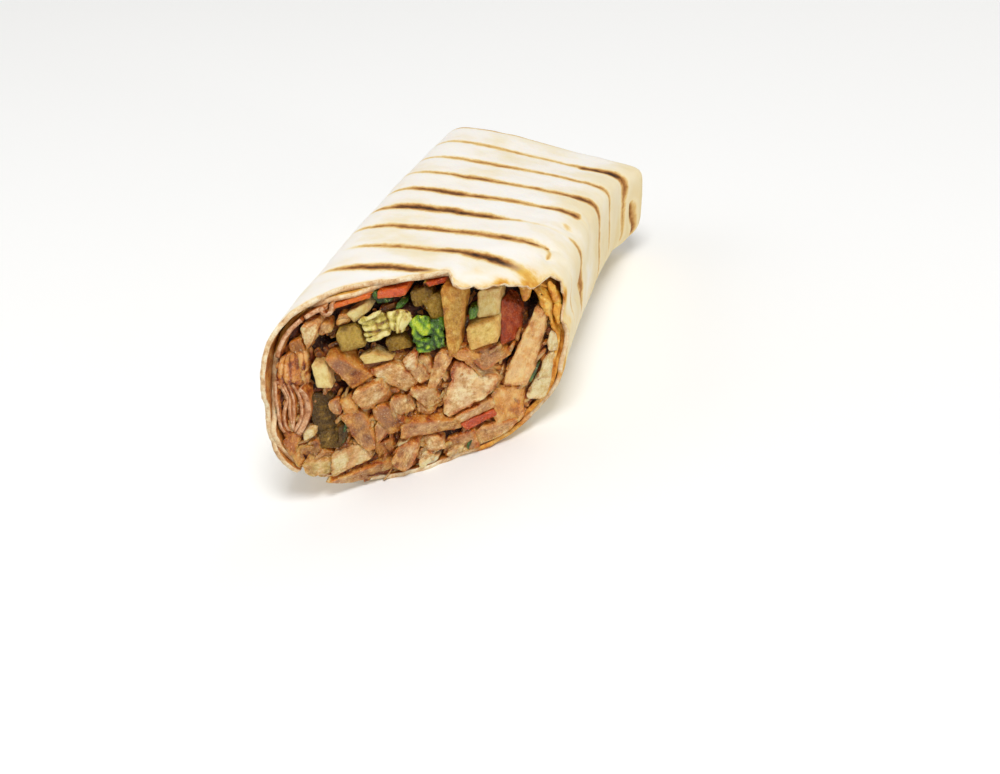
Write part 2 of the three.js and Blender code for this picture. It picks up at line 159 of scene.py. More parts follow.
# matt paper: nearly white and without gloss, so that only the soft shadow shows on it
paper, tree = new_material("matt white paper")
surface = add(tree, "BsdfPrincipled", {"Base Color": linear("#fbfbfa"), "Roughness": 0.9})
add(tree, "OutputMaterial", {"Surface": surface})
floor_mesh.materials.append(paper)

world = bpy.data.worlds.new("pale surround")
world.use_nodes = True
world.node_tree.nodes["Background"].inputs["Color"].default_value = linear("#fdfcfa")
world.node_tree.nodes["Background"].inputs["Strength"].default_value = SURROUND_STRENGTH
bpy.context.scene.world = world

LIGHTS = (
    # name, place and size in metres, power in watts
    ("softbox overhead", (0.1, -0.45, 1.0), 0.4, 6.9),
    ("softbox right", (0.8, -0.5, 0.35), 0.5, 0.6),
    ("softbox left", (-0.7, -0.3, 0.5), 0.5, 1.4),
    ("softbox behind", (0.25, 0.7, 0.6), 0.5, 1.2),
    ("small lamp low right", (0.86, -0.42, 0.13), 0.1, 1.0),
)
for name, place, size, watts in LIGHTS:
    lamp = bpy.data.lights.new(name, "AREA")
    lamp.size = size
    lamp.energy = watts
    lamp_object = bpy.data.objects.new(name, lamp)
    lamp_object.location = place
    lamp_object.rotation_euler = (LAMP_AIM - Vector(place)).to_track_quat("-Z", "Y").to_euler()
    bpy.context.scene.collection.objects.link(lamp_object)
bpy.context.scene.view_settings.view_transform = "Standard"
print("lights:", [name for name, *_ in LIGHTS])

# %% [markdown]
# ## The form of the roll
# The section of the roll is a rounded oblong whose four quarters differ: a square
# shoulder on the left, a ridge on the right that sharpens towards the folded end, and
# soft hips below. It could be lofted between drawn outlines. A formula is shorter and
# gives any point of any layer: turn goes round the roll, row goes along it from the
# slanted cut to the end, and inset is the depth below the outer face.

# %% The form of the roll
# sizes in millimetres, and pairs hold for the cut and for the folded end
LENGTH = 139.0
WIDTHS = (60.0, 52.0)
HEIGHTS = (50.5, 31.0)
WAIST = -1.2
SIDE_BEND = -2.6
SIDE_DRIFT = -1.5
TILTS = (0.07, -0.2)
# how square each quarter of the section is, where 2 is round
LEFT_SHOULDER = 4.7
RIDGES = (1.7, 17.0)
LEFT_HIP = 2.2
RIGHT_HIP = 2.55
# the end was pressed shut: it is a little rounded and flares out to the right
END_ROUND = 1.4
FLARE = 3.5
FLARE_LENGTH = 16.0
# the cut turns away to the right and leans back a little
CUT_SLANT = math.radians(43.8)
CUT_LEAN = math.radians(7.9)
CUT_PIVOT = (-30.0, 22.0)
# the top of the outer turn hangs over the cut as a lip
LIP_OUT = 7.0
LIP_DROP = 1.5
LIP_REACH = 14.0
LIP_FROM = 1.0
LIP_TO = 20.5
EDGE_WAVE = 0.9
# and the right side is gathered into small folds near the cut
RUFFLE = 0.5
RUFFLE_REACH = 45.0
RUFFLE_AT = 0.27
RUFFLE_WIDTH = 0.16
RUFFLES = 13
GIRTH_STEPS = 241
SLANT_ROUNDS = 8


def mix(a, b, t):
    """The value at share t of the way from a to b."""
    return a + (b - a) * t


def smooth(value, start, stop):
    """From 0 at start to 1 at stop, with soft ends."""
    t = np.clip((value - start) / (stop - start), 0, 1)
    return t * t * (3 - 2 * t)


def hump(value, middle, half_width):
    """1 at the middle, falling softly to 0 at half the width to either side."""
    t = np.minimum(1, np.abs(value - middle) / half_width)
    return (1 - t * t) ** 2


def cut_y(x, z):
    """Where the slanted cut crosses the roll."""
    return (x - CUT_PIVOT[0]) * math.tan(CUT_SLANT) + (z - CUT_PIVOT[1]) * math.tan(CUT_LEAN)


def section(angle, y, inset):
    """x and z of the roll's section at y, at an angle measured from the right."""
    along = np.clip(y / LENGTH, -0.3, 1.1)
    middle = 4 * along * (1 - along)
    half_width = mix(*WIDTHS, along) / 2 + WAIST * middle
    height = mix(*HEIGHTS, along)
    across, upward = np.cos(angle), np.sin(angle)
    top = np.where(across > 0, mix(*RIDGES, np.clip(along, 0, 1) ** 2), LEFT_SHOULDER)
    power = 2 / np.where(upward > 0, top, np.where(across > 0, RIGHT_HIP, LEFT_HIP))
    x = np.sign(across) * np.abs(across) ** power * (half_width - inset)
    rise = np.sign(upward) * np.abs(upward) ** power * (height / 2 - inset)
    z = (height / 2 + rise) * (1 + mix(*TILTS, along) * x / height)
    flare = FLARE * smooth(y, LENGTH - FLARE_LENGTH, LENGTH - END_ROUND)
    x_out = x + SIDE_DRIFT * along + SIDE_BEND * middle + flare * np.clip(x / half_width, 0, 1) ** 2
    return x_out, np.maximum(z, RESTING_DEPTH + inset)


def slanted(angle, row, inset):
    """x, y and z at a share of the way from the cut to the end."""
    x, z = section(angle, LENGTH / 2, inset)
    y = angle
    # the section depends on y and the cut on the section, so y is found in a few rounds
    for _ in range(SLANT_ROUNDS):
        front = cut_y(x, z)
        y = front + (LENGTH - front) * row
        x, z = section(angle, y, inset)
    return x, y, z


def girth_angles(turn, row):
    """The angles that share a row's girth out evenly, from the middle of the underside."""
    sweep = np.linspace(-math.pi / 2, 1.5 * math.pi, GIRTH_STEPS)
    x, _, z = slanted(sweep, row, 0.0)
    lengths = np.concatenate(([0], np.cumsum(np.hypot(np.diff(x), np.diff(z)))))
    return np.interp((turn - np.floor(turn)) * lengths[-1], lengths, sweep)


def roll_points(turn, row, inset, lip_share=1.0):
    """Points of one row of the roll, and how far each lies behind the cut."""
    angle = girth_angles(turn, row)
    x, y, z = slanted(angle, row, inset)
    depth = y - cut_y(x, z)
    end_share = np.clip((y - LENGTH + END_ROUND) / END_ROUND, 0, 1)
    rounding = END_ROUND * (1 - np.sqrt(1 - end_share ** 2))
    fold = RUFFLE * hump(turn - np.floor(turn), RUFFLE_AT, RUFFLE_WIDTH)
    ruffle = fold * np.clip(1 - depth / RUFFLE_REACH, 0, 1) * (1 - np.cos(turn * 2 * math.pi * RUFFLES))
    x, y, z = slanted(angle, row, inset + rounding + ruffle)
    near = np.clip(1 - depth / LIP_REACH, 0, 1) ** 2
    lip = smooth(x, LIP_FROM, LIP_FROM + 4) * (1 - smooth(x, LIP_TO - 3, LIP_TO))
    hanging = np.where(z > HEIGHTS[0] / 2, lip * near, 0) * lip_share
    wave = EDGE_WAVE * near * (np.sin(turn * 29) + 0.6 * np.sin(turn * 61 + 1))
    return np.stack([x, y - LIP_OUT * hanging + wave, z - LIP_DROP * hanging], -1), depth


outline, _ = roll_points(np.linspace(0, 1, 200), 0.0, 0.0)
print("the cut is", [round(float(v), 1) for v in outline.max(0) - outline.min(0)], "mm across, deep and high")

# %% [markdown]
# ## From bmesh to a finished piece
# Each piece is a bmesh first. This turns it into an object at the origin whose place is
# in its mesh, smooth-shaded, and ties it to the wrap's one body, its finish and the
# solid that it stands for.

# %% Finishing a piece
def to_object(name, bm, materials):
    """The bmesh as an object of its own, in metres and in the frame of the solids."""
    mesh = bpy.data.meshes.new(name)
    bm.to_mesh(mesh)
    bm.free()
    mesh.transform(TO_FRAME)
    mesh.polygons.foreach_set("use_smooth", [True] * len(mesh.polygons))
    for material in materials:
        mesh.materials.append(material)
    made = bpy.data.objects.new(name, mesh)
    bpy.context.scene.collection.objects.link(made)
    return made


def belongs(piece, slot, *nodes):
    """The piece rides on the wrap and stands for those solids, which are hidden. slot is not used."""
    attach(piece, "root")
    if nodes:
        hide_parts(*nodes)
    faces = sum(len(p.vertices) - 2 for p in piece.data.polygons)
    print(f"{piece.name}: {faces} triangles, stands for {', '.join(nodes) or 'nothing'}")


# %% [markdown]
# ## The bread: one long sheet
# The bread is one sheet of soft flatbread about a millimetre thick. Its inner end lies at
# the lower right, it runs up, over and round almost twice, and its outer end stops at the
# lower left. It could be two tubes, one in the other. One grid, rolled up by moving its
# points, is what the real bread is, and it gives the seam and the double wall for
# nothing. The columns are closer on the outer turn, and the rows near the torn edge.

# %% The sheet's columns and rows
# millimetres: how thick the bread is, and how far apart its two layers lie
BREAD = 1.1
LAYER_GAP = 0.04
# places round the roll are counted in turns, from the middle of the underside up the right
# side: where the sheet starts and stops, where it passes from the inner turn to the outer,
# and from where on it covers the folded end
INNER_END = 0.1
OUTER_END = 1.85
DIVE = (0.855, 0.93)
LAP_FROM = 0.8
# the inner turn sags a little away from the outer at the upper right
INNER_SAG = 1.1
INNER_SAG_AT = 0.315
INNER_SAG_WIDTH = 0.08
INNER_COLUMNS = 84
OUTER_COLUMNS = 176
EDGE_ROWS = 34
BODY_ROWS = 96
END_ROWS = 22
EDGE_SHARE = 0.12
# the end bulges a little, and each of its tucks is a step in the bread
END_DOME = 1.2
END_FOLD = 0.8
TUCKS = 3
TUCK_SWIRL = 0.35

turns = np.concatenate([np.linspace(INNER_END, DIVE[0], INNER_COLUMNS, endpoint=False),
                        np.linspace(DIVE[0], OUTER_END, OUTER_COLUMNS)])
rows = np.concatenate([np.linspace(0, EDGE_SHARE, EDGE_ROWS, endpoint=False),
                       np.linspace(EDGE_SHARE, 1, BODY_ROWS)])
end_shares = np.linspace(1, 0, END_ROWS + 1)[1:]


def layer_depth(turn, row):
    """How deep the middle of the sheet lies: the first turn inside, the rest outside."""
    inner = BREAD * 1.5 + LAYER_GAP
    loose = INNER_SAG * hump(turn, INNER_SAG_AT, INNER_SAG_WIDTH) * np.clip(1 - row / 0.5, 0, 1)
    return mix(inner, BREAD / 2, smooth(turn, *DIVE)) + loose


def end_points(ring, middle, turn, share):
    """The sheet gathered over the end in three overlapping tucks that swirl to the middle."""
    gathered = middle + (ring - middle) * share
    flat = smooth(1 - share, 0, 0.25)
    tuck = (turn * TUCKS + TUCK_SWIRL * (1 - share)) % 1.0
    lap = END_FOLD * (smooth(tuck, 0, 0.06) * (1 - 0.6 * tuck)) * flat * smooth(share, 0, 0.3)
    gathered[:, 1] = LENGTH + END_DOME * (1 - share ** 2) - END_FOLD * flat + lap - BREAD / 2 * flat
    return gathered


sheet_rows = [roll_points(turns, row, layer_depth(turns, row), smooth(turns, *DIVE)) for row in rows]
last_ring = sheet_rows[-1][0]
end_middle = last_ring[turns > DIVE[1]].mean(0)
sheet = np.array([points for points, _ in sheet_rows]
                 + [end_points(last_ring, end_middle, turns, share) for share in end_shares])
behind_cut = np.array([depth for _, depth in sheet_rows]
                      + [np.full(len(turns), LENGTH)] * END_ROWS)
print("the sheet has", sheet.shape[0], "rows of", sheet.shape[1], "points")

# %% [markdown]
# ## Where the grill marked it
# The ribs of the grill press straight bars across the roll, 13.5 mm apart. Each bar is
# strong where the roll bulged against the rib and faint where it sank away. The table
# gives that strength at a few stations across the top and on down the right side, and
# the shader later draws each bar's burnt middle and golden edges from it.

# %% Grill bars
BAR_PITCH = 13.525
BAR_SKEW = math.tan(math.radians(3.457))
RIDGE_X = 22.0
STATIONS = (-27, -24, -20, -15, -10, -5, 0, 5, 10, 15, 19, 22, 25, 33, 42, 48)
BARS = (
    # from the folded end to the cut
    (0.0, 0.40, 0.50, 0.52, 0.50, 0.46, 0.42, 0.38, 0.34, 0.30, 0.26, 0.20, 0.10, 0.10, 0.0, 0.0),
    (0.1, 0.30, 0.34, 0.40, 0.44, 0.44, 0.42, 0.40, 0.44, 0.58, 0.85, 1.00, 0.70, 0.45, 0.36, 0.1),
    (0.1, 0.30, 0.36, 0.46, 0.60, 0.56, 0.44, 0.44, 0.42, 0.46, 0.62, 0.55, 0.42, 0.40, 0.20, 0.0),
    (0.1, 0.34, 0.40, 0.52, 0.74, 0.68, 0.52, 0.52, 0.58, 0.74, 0.86, 0.80, 0.55, 0.50, 0.50, 0.1),
    (0.1, 0.40, 0.58, 0.80, 0.86, 0.72, 0.56, 0.54, 0.48, 0.74, 0.80, 0.20, 0.10, 0.05, 0.0, 0.0),
    (0.2, 0.55, 0.84, 0.92, 0.96, 0.92, 0.88, 0.50, 0.22, 0.16, 0.10, 0.25, 0.50, 0.62, 0.40, 0.1),
    (0.1, 0.40, 0.66, 0.70, 0.72, 0.66, 0.62, 0.68, 0.74, 0.70, 0.05, 0.00, 0.10, 0.30, 0.20, 0.0),
    (0.0, 0.10, 0.40, 0.56, 0.58, 0.60, 0.72, 0.96, 1.00, 0.60, 0.05, 0.00, 0.00, 0.00, 0.0, 0.0),
    (0.0, 0.30, 0.60, 0.86, 0.88, 0.74, 0.40, 0.15, 0.05, 0.00, 0.00, 0.00, 0.00, 0.00, 0.0, 0.0),
)
UNDERSIDE_BAR = 0.45
UNDERSIDE_FROM = -0.25
RIDGE_BELOW_TOP = 4.0


def bar_strength(point, angle):
    """How hard the nearest bar marked this place of the outer turn."""
    x, y, z = point
    place = (LENGTH - y + BAR_SKEW * x) / BAR_PITCH
    number = int(np.clip(round(place), 0, len(BARS) - 1))
    if math.sin(angle) < UNDERSIDE_FROM:
        return UNDERSIDE_BAR * max(0.0, -math.sin(angle))
    ridge_z = HEIGHTS[1] + (HEIGHTS[0] - HEIGHTS[1]) * (1 - y / LENGTH) - RIDGE_BELOW_TOP
    on_top = math.cos(angle) < math.sin(angle)
    station = x if on_top else RIDGE_X + max(0.0, ridge_z - z)
    return float(np.interp(station, STATIONS, BARS[number])) if abs(place) < len(BARS) - 0.5 else 0.0


last_bar = LENGTH - (len(BARS) - 1) * BAR_PITCH
print("bars:", len(BARS), "the first over the end, the last", round(last_bar, 1), "mm along")

# %% [markdown]
# ## Scorches and creases
# Where the roll was turned and pressed, the bread touched the grill between its ribs and
# was folded over. Each such mark is a soft line between two points. They could be painted
# on a texture. As lines they keep their place at any size, and a crease is real relief.

# %% Scorches, creases and noise
SCORCHES = (
    # from, to, radius and strength: spots that touched the grill between its ribs
    ((14.0, 125.9, 30.0), (21.5, 126.8, 28.2), 1.7, 0.9),
    ((25.7, 131.5, 17.5), (25.6, 135.0, 8.0), 1.7, 0.8),
    ((18.2, 77.5, 36.2), (22.3, 71.5, 25.5), 1.2, 0.34),
    ((17.2, 61.2, 38.6), (18.1, 57.0, 38.2), 0.7, 0.42),
    ((13.3, 59.8, 40.4), (17.3, 61.2, 38.5), 0.6, 0.36),
    ((22.3, 71.9, 25.9), (22.3, 72.0, 25.8), 0.6, 0.85),
)
CREASES = (
    # from, to, radius and depth: where the bread was folded over on its way round
    ((18.0, 56.0, 38.3), (22.6, 66.0, 22.0), 1.3, 0.7),
    ((17.4, 61.0, 38.6), (22.8, 73.0, 20.0), 1.5, 0.6),
    ((18.4, 76.0, 36.4), (22.4, 71.0, 22.0), 1.2, 0.5),
    ((13.3, 59.8, 40.4), (17.6, 61.2, 38.6), 0.8, 0.45),
    ((20.5, 90.0, 31.5), (23.0, 84.0, 16.0), 1.4, 0.35),
    ((25.9, 131.5, 17.5), (25.6, 135.0, 8.0), 1.4, 1.1),
    ((22.0, 136.0, 25.0), (26.5, 130.0, 12.0), 1.6, 0.5),
)


def wobble(point, size, seed=0.0):
    """Smooth noise from -1 to 1 with features about this many millimetres across."""
    return noise.noise(Vector(point) / size + Vector((seed, seed * 1.7, seed * 0.3)))


def near_lines(point, lines):
    """The sum of soft lines at a point, each with its own radius and strength."""
    total = 0.0
    for start, stop, radius, strength in lines:
        start, run = Vector(start), Vector(stop) - Vector(start)
        share = max(0.0, min(1.0, (point - start).dot(run) / run.length_squared))
        distance = (point - start - run * share).length
        total += strength * math.exp(-(distance / radius) ** 2)
    return total


print("scorches:", len(SCORCHES), "creases:", len(CREASES))

# %% [markdown]
# ## Rolling the grid up
# The grid is made flat, and each of its points is moved to its place on the sheet. The
# rows over the end are only kept on the outer turn, and they meet in one point. The edge
# at the cut is torn, by noise that both turns share, and the inner turn is set back a
# little from the outer. Four values are stored with the points: for the shader the bar's
# strength, the scorches and the sauce that has soaked in near the cut, and for the wall
# how thick the sheet is, since a torn edge is thin.

# %% The rolled sheet
# how far back the torn edge reaches, and how much of its thickness it loses. The noise
# that tears it is read on a circle, so that it closes round the roll
TEAR_REACH = 5.0
TEAR_RADIUS = 27.0
TORN_THIN = 0.5
# how far the inner turn is set back, everywhere and most of all at the upper left
INNER_SET_BACK = 0.7
SET_BACK = 2.6
SET_BACK_AT = 0.64
SET_BACK_WIDTH = 0.08
# how far the sauce has soaked in behind the cut: inside, at the edge and at the right
STAIN_REACH = 30.0
EDGE_STAIN_REACH = 2.5
SIDE_STAIN_REACH = 6.5

bread_bm = bmesh.new()
columns, ranks = len(turns) - 1, len(sheet) - 1
bmesh.ops.create_grid(bread_bm, x_segments=columns, y_segments=ranks, size=1)
char_layer = bread_bm.verts.layers.float.new("char")
scorch_layer = bread_bm.verts.layers.float.new("scorch")
stain_layer = bread_bm.verts.layers.float.new("stain")
thick_group = bread_bm.verts.layers.deform.new()
row_angles = [girth_angles(turns, row) for row in rows]
inner_end_rows = []
for vert in bread_bm.verts:
    i = round((vert.co.x + 1) / 2 * columns)
    j = round((vert.co.y + 1) / 2 * ranks)
    point, depth, turn = sheet[j, i].copy(), behind_cut[j, i], turns[i]
    torn = max(0.0, 1 - depth / TEAR_REACH) ** 2
    in_lip = float(smooth(point[0], LIP_FROM, LIP_FROM + 4)) * (point[2] > HEIGHTS[0] / 2)
    tear = (TEAR_RADIUS * math.cos(2 * math.pi * turn), TEAR_RADIUS * math.sin(2 * math.pi * turn), 3)
    ragged = wobble(tear, 2.2) * 0.8 + wobble(tear, 0.9, 9) * 0.6
    point[1] += torn * ragged * (0.8 + 0.9 * in_lip)
    on_outer = float(smooth(turn, *DIVE))
    set_back = SET_BACK * float(hump(turn, SET_BACK_AT, SET_BACK_WIDTH))
    point[1] += (INNER_SET_BACK + set_back) * torn * (1 - on_outer)
    angle = row_angles[min(j, len(rows) - 1)][i]
    char = bar_strength(point, angle) * on_outer if j < len(rows) else 0.0
    patchy = max(0.0, 0.55 + 1.3 * wobble(point, 6.0, 11))
    at_right = float(smooth(point[0], 2, 6)) * max(0.0, 1 - depth / SIDE_STAIN_REACH) * patchy
    edge_stain = max(max(0.0, 1 - depth / EDGE_STAIN_REACH) * 0.5, at_right)
    vert.co = point
    vert[char_layer] = char
    vert[scorch_layer] = near_lines(vert.co, SCORCHES) * on_outer
    inner_stain = (1 - on_outer) * (0.8 + 0.2 * float(smooth(point[0], 8, 16)))
    vert[stain_layer] = max(inner_stain, edge_stain) * max(0.0, 1 - depth / STAIN_REACH)
    vert[thick_group][0] = 1 - TORN_THIN * torn * (0.05 + 0.95 * in_lip)
    if j >= len(rows) and turn < LAP_FROM:
        inner_end_rows.append(vert)
bmesh.ops.delete(bread_bm, geom=inner_end_rows, context="VERTS")
bmesh.ops.remove_doubles(bread_bm, verts=bread_bm.verts[:], dist=0.02)
bmesh.ops.recalc_face_normals(bread_bm, faces=bread_bm.faces[:])
bread_bm.normal_update()
outward = sum(v.normal.dot(Vector((v.co.x, 0, v.co.z - 22))) for v in bread_bm.verts)
if outward < 0:
    bmesh.ops.reverse_faces(bread_bm, faces=bread_bm.faces[:])
    bread_bm.normal_update()
print("sheet:", len(bread_bm.verts), "points")

# %% [markdown]
# ## Waves, grooves and creases
# Soft bread swells over what it holds, and it is pressed in under each bar of the grill and
# along each crease. A bump in the shader would show this only in the light, so the points
# move along their normals instead, and no point may sink below the resting face.

# %% Waves, grooves and creases
WAVE_SIZE = 15.0
WAVE = 0.35
PUCKER_SIZE = 4.0
PUCKER = 0.16
GROOVE = 0.3
GROOVE_WIDTH = 1.6
CREASED_FROM = 10.0

for vert in bread_bm.verts:
    swell = WAVE * wobble(vert.co, WAVE_SIZE) + PUCKER * wobble(vert.co, PUCKER_SIZE, 5)
    place = (LENGTH - vert.co.y + BAR_SKEW * vert.co.x) / BAR_PITCH
    from_bar = abs(place - round(place)) * BAR_PITCH
    groove = GROOVE * vert[char_layer] * math.exp(-(from_bar / GROOVE_WIDTH) ** 2)
    crease = near_lines(vert.co, CREASES) if vert.co.x > CREASED_FROM else 0.0
    vert.co += vert.normal * (swell - groove - crease)
    vert.co.z = max(vert.co.z, RESTING_DEPTH + BREAD / 2)
print("the sheet now reaches", round(max(vert.co.z for vert in bread_bm.verts), 1), "mm high")

# %% [markdown]
# ## The finish of the bread
# Plain wheat flatbread, baked on a hot plate and pressed on a ribbed grill: matt, nearly
# white, a little yellow where it is thin, freckled where it blistered. A bar is golden
# at its edge, brown inside and nearly black where it pressed hardest. The bars could be an
# image laid over the bread. Here the shader counts its way from bar to bar, and each
# place gets its burnt colour from how far it is from the nearest one.

# %% The bars on the grilled bread
CREAM, WARM, DEEP = "#f5eee3", "#f0e3c4", "#e8d3a0"
# sizes in millimetres: how far apart a bar sways and frays, and how wide its dark spots are
BAR_SWAY_SIZE = 14
BAR_FRAY_SIZE = 1.7
BLOTCH_SIZE = 3.2
# and by how much it sways and frays, and half its width with no char and for full char
BAR_SWAY = 2.0
BAR_FRAY = 1.5
BAR_THIN = 0.95
BAR_THICKER = 1.0
MARK_STOPS = [(0.0, "#f6efe2"), (0.12, "#f3e3b8"), (0.27, "#e2bd78"), (0.45, "#b98144"),
              (0.64, "#7e4f22"), (0.82, "#4a2c14"), (1.0, "#2c190c")]
# wheat flatbread, baked and grilled: a matt, floury face that lets a little light in
grilled_bread, tree = new_material("grilled wheat flatbread")
place = add(tree, "TexCoord", out="Object")
x_place = add(tree, "SeparateXYZ", {0: place}, out="X")
y_place = add(tree, "SeparateXYZ", {0: place}, out="Y")
sway = add(tree, "TexNoise", {"Vector": place, "Scale": per_mm(BAR_SWAY_SIZE), "Detail": 1.0})
frayed = add(tree, "TexNoise", {"Vector": place, "Scale": per_mm(BAR_FRAY_SIZE), "Detail": 3.0,
                                "Roughness": 0.7})
# the bars run a little askew, so y minus the skew counts the steps from one to the next
skewed = add(tree, "Math", {0: x_place, 1: -BAR_SKEW, 2: y_place}, operation="MULTIPLY_ADD")
slow = add(tree, "Math", {0: sway, 1: BAR_SWAY * MM, 2: skewed}, operation="MULTIPLY_ADD")
quick = add(tree, "Math", {0: frayed, 1: BAR_FRAY * MM, 2: slow}, operation="MULTIPLY_ADD")
mean_noise = (BAR_SWAY + BAR_FRAY) / 2
first_bar = (LENGTH - FOOTPRINT_MIDDLE[1] + BAR_SKEW * FOOTPRINT_MIDDLE[0] + mean_noise) * MM
steps = add(tree, "Math", {0: quick, 1: first_bar}, operation="SUBTRACT")
count = add(tree, "Math", {0: steps, 1: BAR_PITCH * MM}, operation="DIVIDE")
from_bar = add(tree, "Math", {0: count, 1: 0.5}, operation="PINGPONG")
in_mm = add(tree, "Math", {0: from_bar, 1: BAR_PITCH}, operation="MULTIPLY")
# across a bar the heat falls off like a bell, and a strong bar is wider
char = add(tree, "Attribute", out="Fac", attribute_name="char")
width = add(tree, "Math", {0: char, 1: BAR_THICKER, 2: BAR_THIN}, operation="MULTIPLY_ADD")
ratio = add(tree, "Math", {0: in_mm, 1: width}, operation="DIVIDE")
square = add(tree, "Math", {0: ratio, 1: 1.6}, operation="POWER")
negative = add(tree, "Math", {0: square, 1: -1.0}, operation="MULTIPLY")
bell = add(tree, "Math", {0: negative}, operation="EXPONENT")
blotch = add(tree, "TexNoise", {"Vector": place, "Scale": per_mm(BLOTCH_SIZE), "Detail": 3.0,
                                "Roughness": 0.65})
uneven = add(tree, "MapRange", {"Value": blotch, "From Min": 0.3, "From Max": 0.7,
                                "To Min": 0.62, "To Max": 1.08})
barred = add(tree, "Math", {0: bell, 1: char}, operation="MULTIPLY")
scorch = add(tree, "Attribute", out="Fac", attribute_name="scorch")
heat = add(tree, "Math", {0: barred, 1: scorch}, operation="MAXIMUM")
burnt = add(tree, "Math", {0: heat, 1: uneven}, operation="MULTIPLY")
mark = add(tree, "ValToRGB", {"Fac": burnt}, ramp=MARK_STOPS)
print("a bar is", 2 * BAR_THIN, "to", 2 * (BAR_THIN + BAR_THICKER), "mm wide")

# %% [markdown]
# ## Between the bars
# Flour and heat leave pale and yellow clouds. The right side lies in shade, and that shade
# is painted in as a yellower, darker tone. Near the cut the sauce shows through. Small
# blisters and the crumb are a bump, because they are too low to change the outline.

# %% Clouds, sauce and blisters
# sizes in millimetres
CLOUD_SIZE = 22
CRUMB_SIZE = 0.9
BLISTER_SIZE = 5.0
SIDE_FROM, SIDE_TO = 13, 26
SIDE_YELLOW = 0.32
RELIEF = 0.25

cloud = add(tree, "TexNoise", {"Vector": place, "Scale": per_mm(CLOUD_SIZE), "Detail": 4.0, "Roughness": 0.6})
# painted shade: the right side, which lies in shade, is made yellower and darker
at_side = add(tree, "MapRange", {"Value": x_place, "From Min": SIDE_FROM * MM, "From Max": SIDE_TO * MM,
                                 "To Min": 0.0, "To Max": SIDE_YELLOW})
tone = add(tree, "Math", {0: cloud, 1: at_side}, operation="ADD")
base = add(tree, "ValToRGB", {"Fac": tone},
           ramp=[(0.35, "#f6f2ec"), (0.52, CREAM), (0.66, WARM), (0.9, DEEP)])
marked = add(tree, "MapRange", {"Value": burnt, "From Min": 0.02, "From Max": 0.2})
toasted = add(tree, "Mix", {0: marked, 6: base, 7: mark}, data_type="RGBA", out=2)
stain = add(tree, "Attribute", out="Fac", attribute_name="stain")
soak = add(tree, "Math", {0: stain, 1: blotch}, operation="MULTIPLY")
soaked = add(tree, "ValToRGB", {"Fac": soak},
             ramp=[(0.05, "#f4e6bd"), (0.25, "#ecc25e"), (0.5, "#d08a30"), (0.9, "#8a4a1c")])
wet = add(tree, "MapRange", {"Value": soak, "From Min": 0.02, "From Max": 0.35})
colour = add(tree, "Mix", {0: wet, 6: toasted, 7: soaked}, data_type="RGBA", out=2)
fine = add(tree, "TexNoise", {"Vector": place, "Scale": per_mm(CRUMB_SIZE), "Detail": 4.0, "Roughness": 0.6})
blister = add(tree, "TexVoronoi", {"Vector": place, "Scale": per_mm(BLISTER_SIZE), "Smoothness": 0.6},
              feature="SMOOTH_F1")
relief = add(tree, "Math", {0: blister, 1: 0.5, 2: fine}, operation="MULTIPLY_ADD")
bump = add(tree, "Bump", {"Height": relief, "Strength": 0.35, "Distance": RELIEF * MM})
surface = add(tree, "BsdfPrincipled", {"Base Color": colour, "Roughness": 0.72, "IOR": 1.4,
                                       "Specular IOR Level": 0.3, "Subsurface Weight": 0.12,
                                       "Subsurface Radius": (1.0, 0.7, 0.4), "Subsurface Scale": 1.5 * MM,
                                       "Normal": bump})
add(tree, "OutputMaterial", {"Surface": surface})
print("the grilled bread takes", len(tree.nodes), "nodes")

# %% [markdown]
# ## Soaked bread
# Where sauce has soaked in, the same bread turns orange-brown, pitted and a little glossy.
# Three soaked finishes differ only in their colours and in how wide the spots are, so one
# function makes them all.

# %% Soaked inner face
GRAIN_SIZE = 1.1


def soaked_flatbread(name, stops, size=3.0):
    """Bread that has soaked up sauce: blotched, pitted and a little glossy."""
    material, tree = new_material(name)
    place = add(tree, "TexCoord", out="Object")
    blotch = add(tree, "TexNoise", {"Vector": place, "Scale": per_mm(size), "Detail": 6.0, "Roughness": 0.74})
    colour = add(tree, "ValToRGB", {"Fac": blotch}, ramp=stops)
    grainy = add(tree, "TexNoise", {"Vector": place, "Scale": per_mm(GRAIN_SIZE), "Detail": 5.0,
                                    "Roughness": 0.65})
    bump = add(tree, "Bump", {"Height": grainy, "Strength": 0.8, "Distance": 0.5 * MM})
    surface = add(tree, "BsdfPrincipled", {"Base Color": colour, "Roughness": 0.36, "IOR": 1.4,
                                           "Subsurface Weight": 0.15, "Subsurface Radius": (1.0, 0.5, 0.2),
                                           "Subsurface Scale": 1.5 * MM, "Coat Weight": 0.3,
                                           "Coat Roughness": 0.12, "Normal": bump})
    add(tree, "OutputMaterial", {"Surface": surface})
    return material


# the inner face, brown in the folds
soaked_bread = soaked_flatbread("flatbread soaked with sauce", [
    (0.3, "#5c2208"), (0.43, "#9c5018"), (0.54, "#c88036"), (0.66, "#dfac66"), (0.8, "#efd49a")])
# the inner turn at the cut: reddest from the sauce, and darkest from painted shade
sauced_bread = soaked_flatbread("flatbread under red sauce with painted shade", [
    (0.3, "#3c1006"), (0.41, "#7c2f0c"), (0.51, "#b4601e"), (0.6, "#cf8a40"), (0.75, "#e4b678")], size=2.0)
# the crumpled corner, where the sauce is thin and yellow
golden_bread = soaked_flatbread("flatbread under yellow sauce", [
    (0.28, "#8a4208"), (0.4, "#c87816"), (0.51, "#e4a02e"), (0.61, "#efc45e"), (0.76, "#f6e4ac")], size=2.4)
print("soaked finishes:", soaked_bread.name, sauced_bread.name, golden_bread.name)

# %% [markdown]
# ## Torn edges
# The rim of the wall needs finishes of its own, because torn bread shows neither its
# skin nor its bars. On the outer turn the stain that the points carry mixes clean crumb
# with saucy crumb. The inner layers lie in sauce everywhere, so theirs has one look.

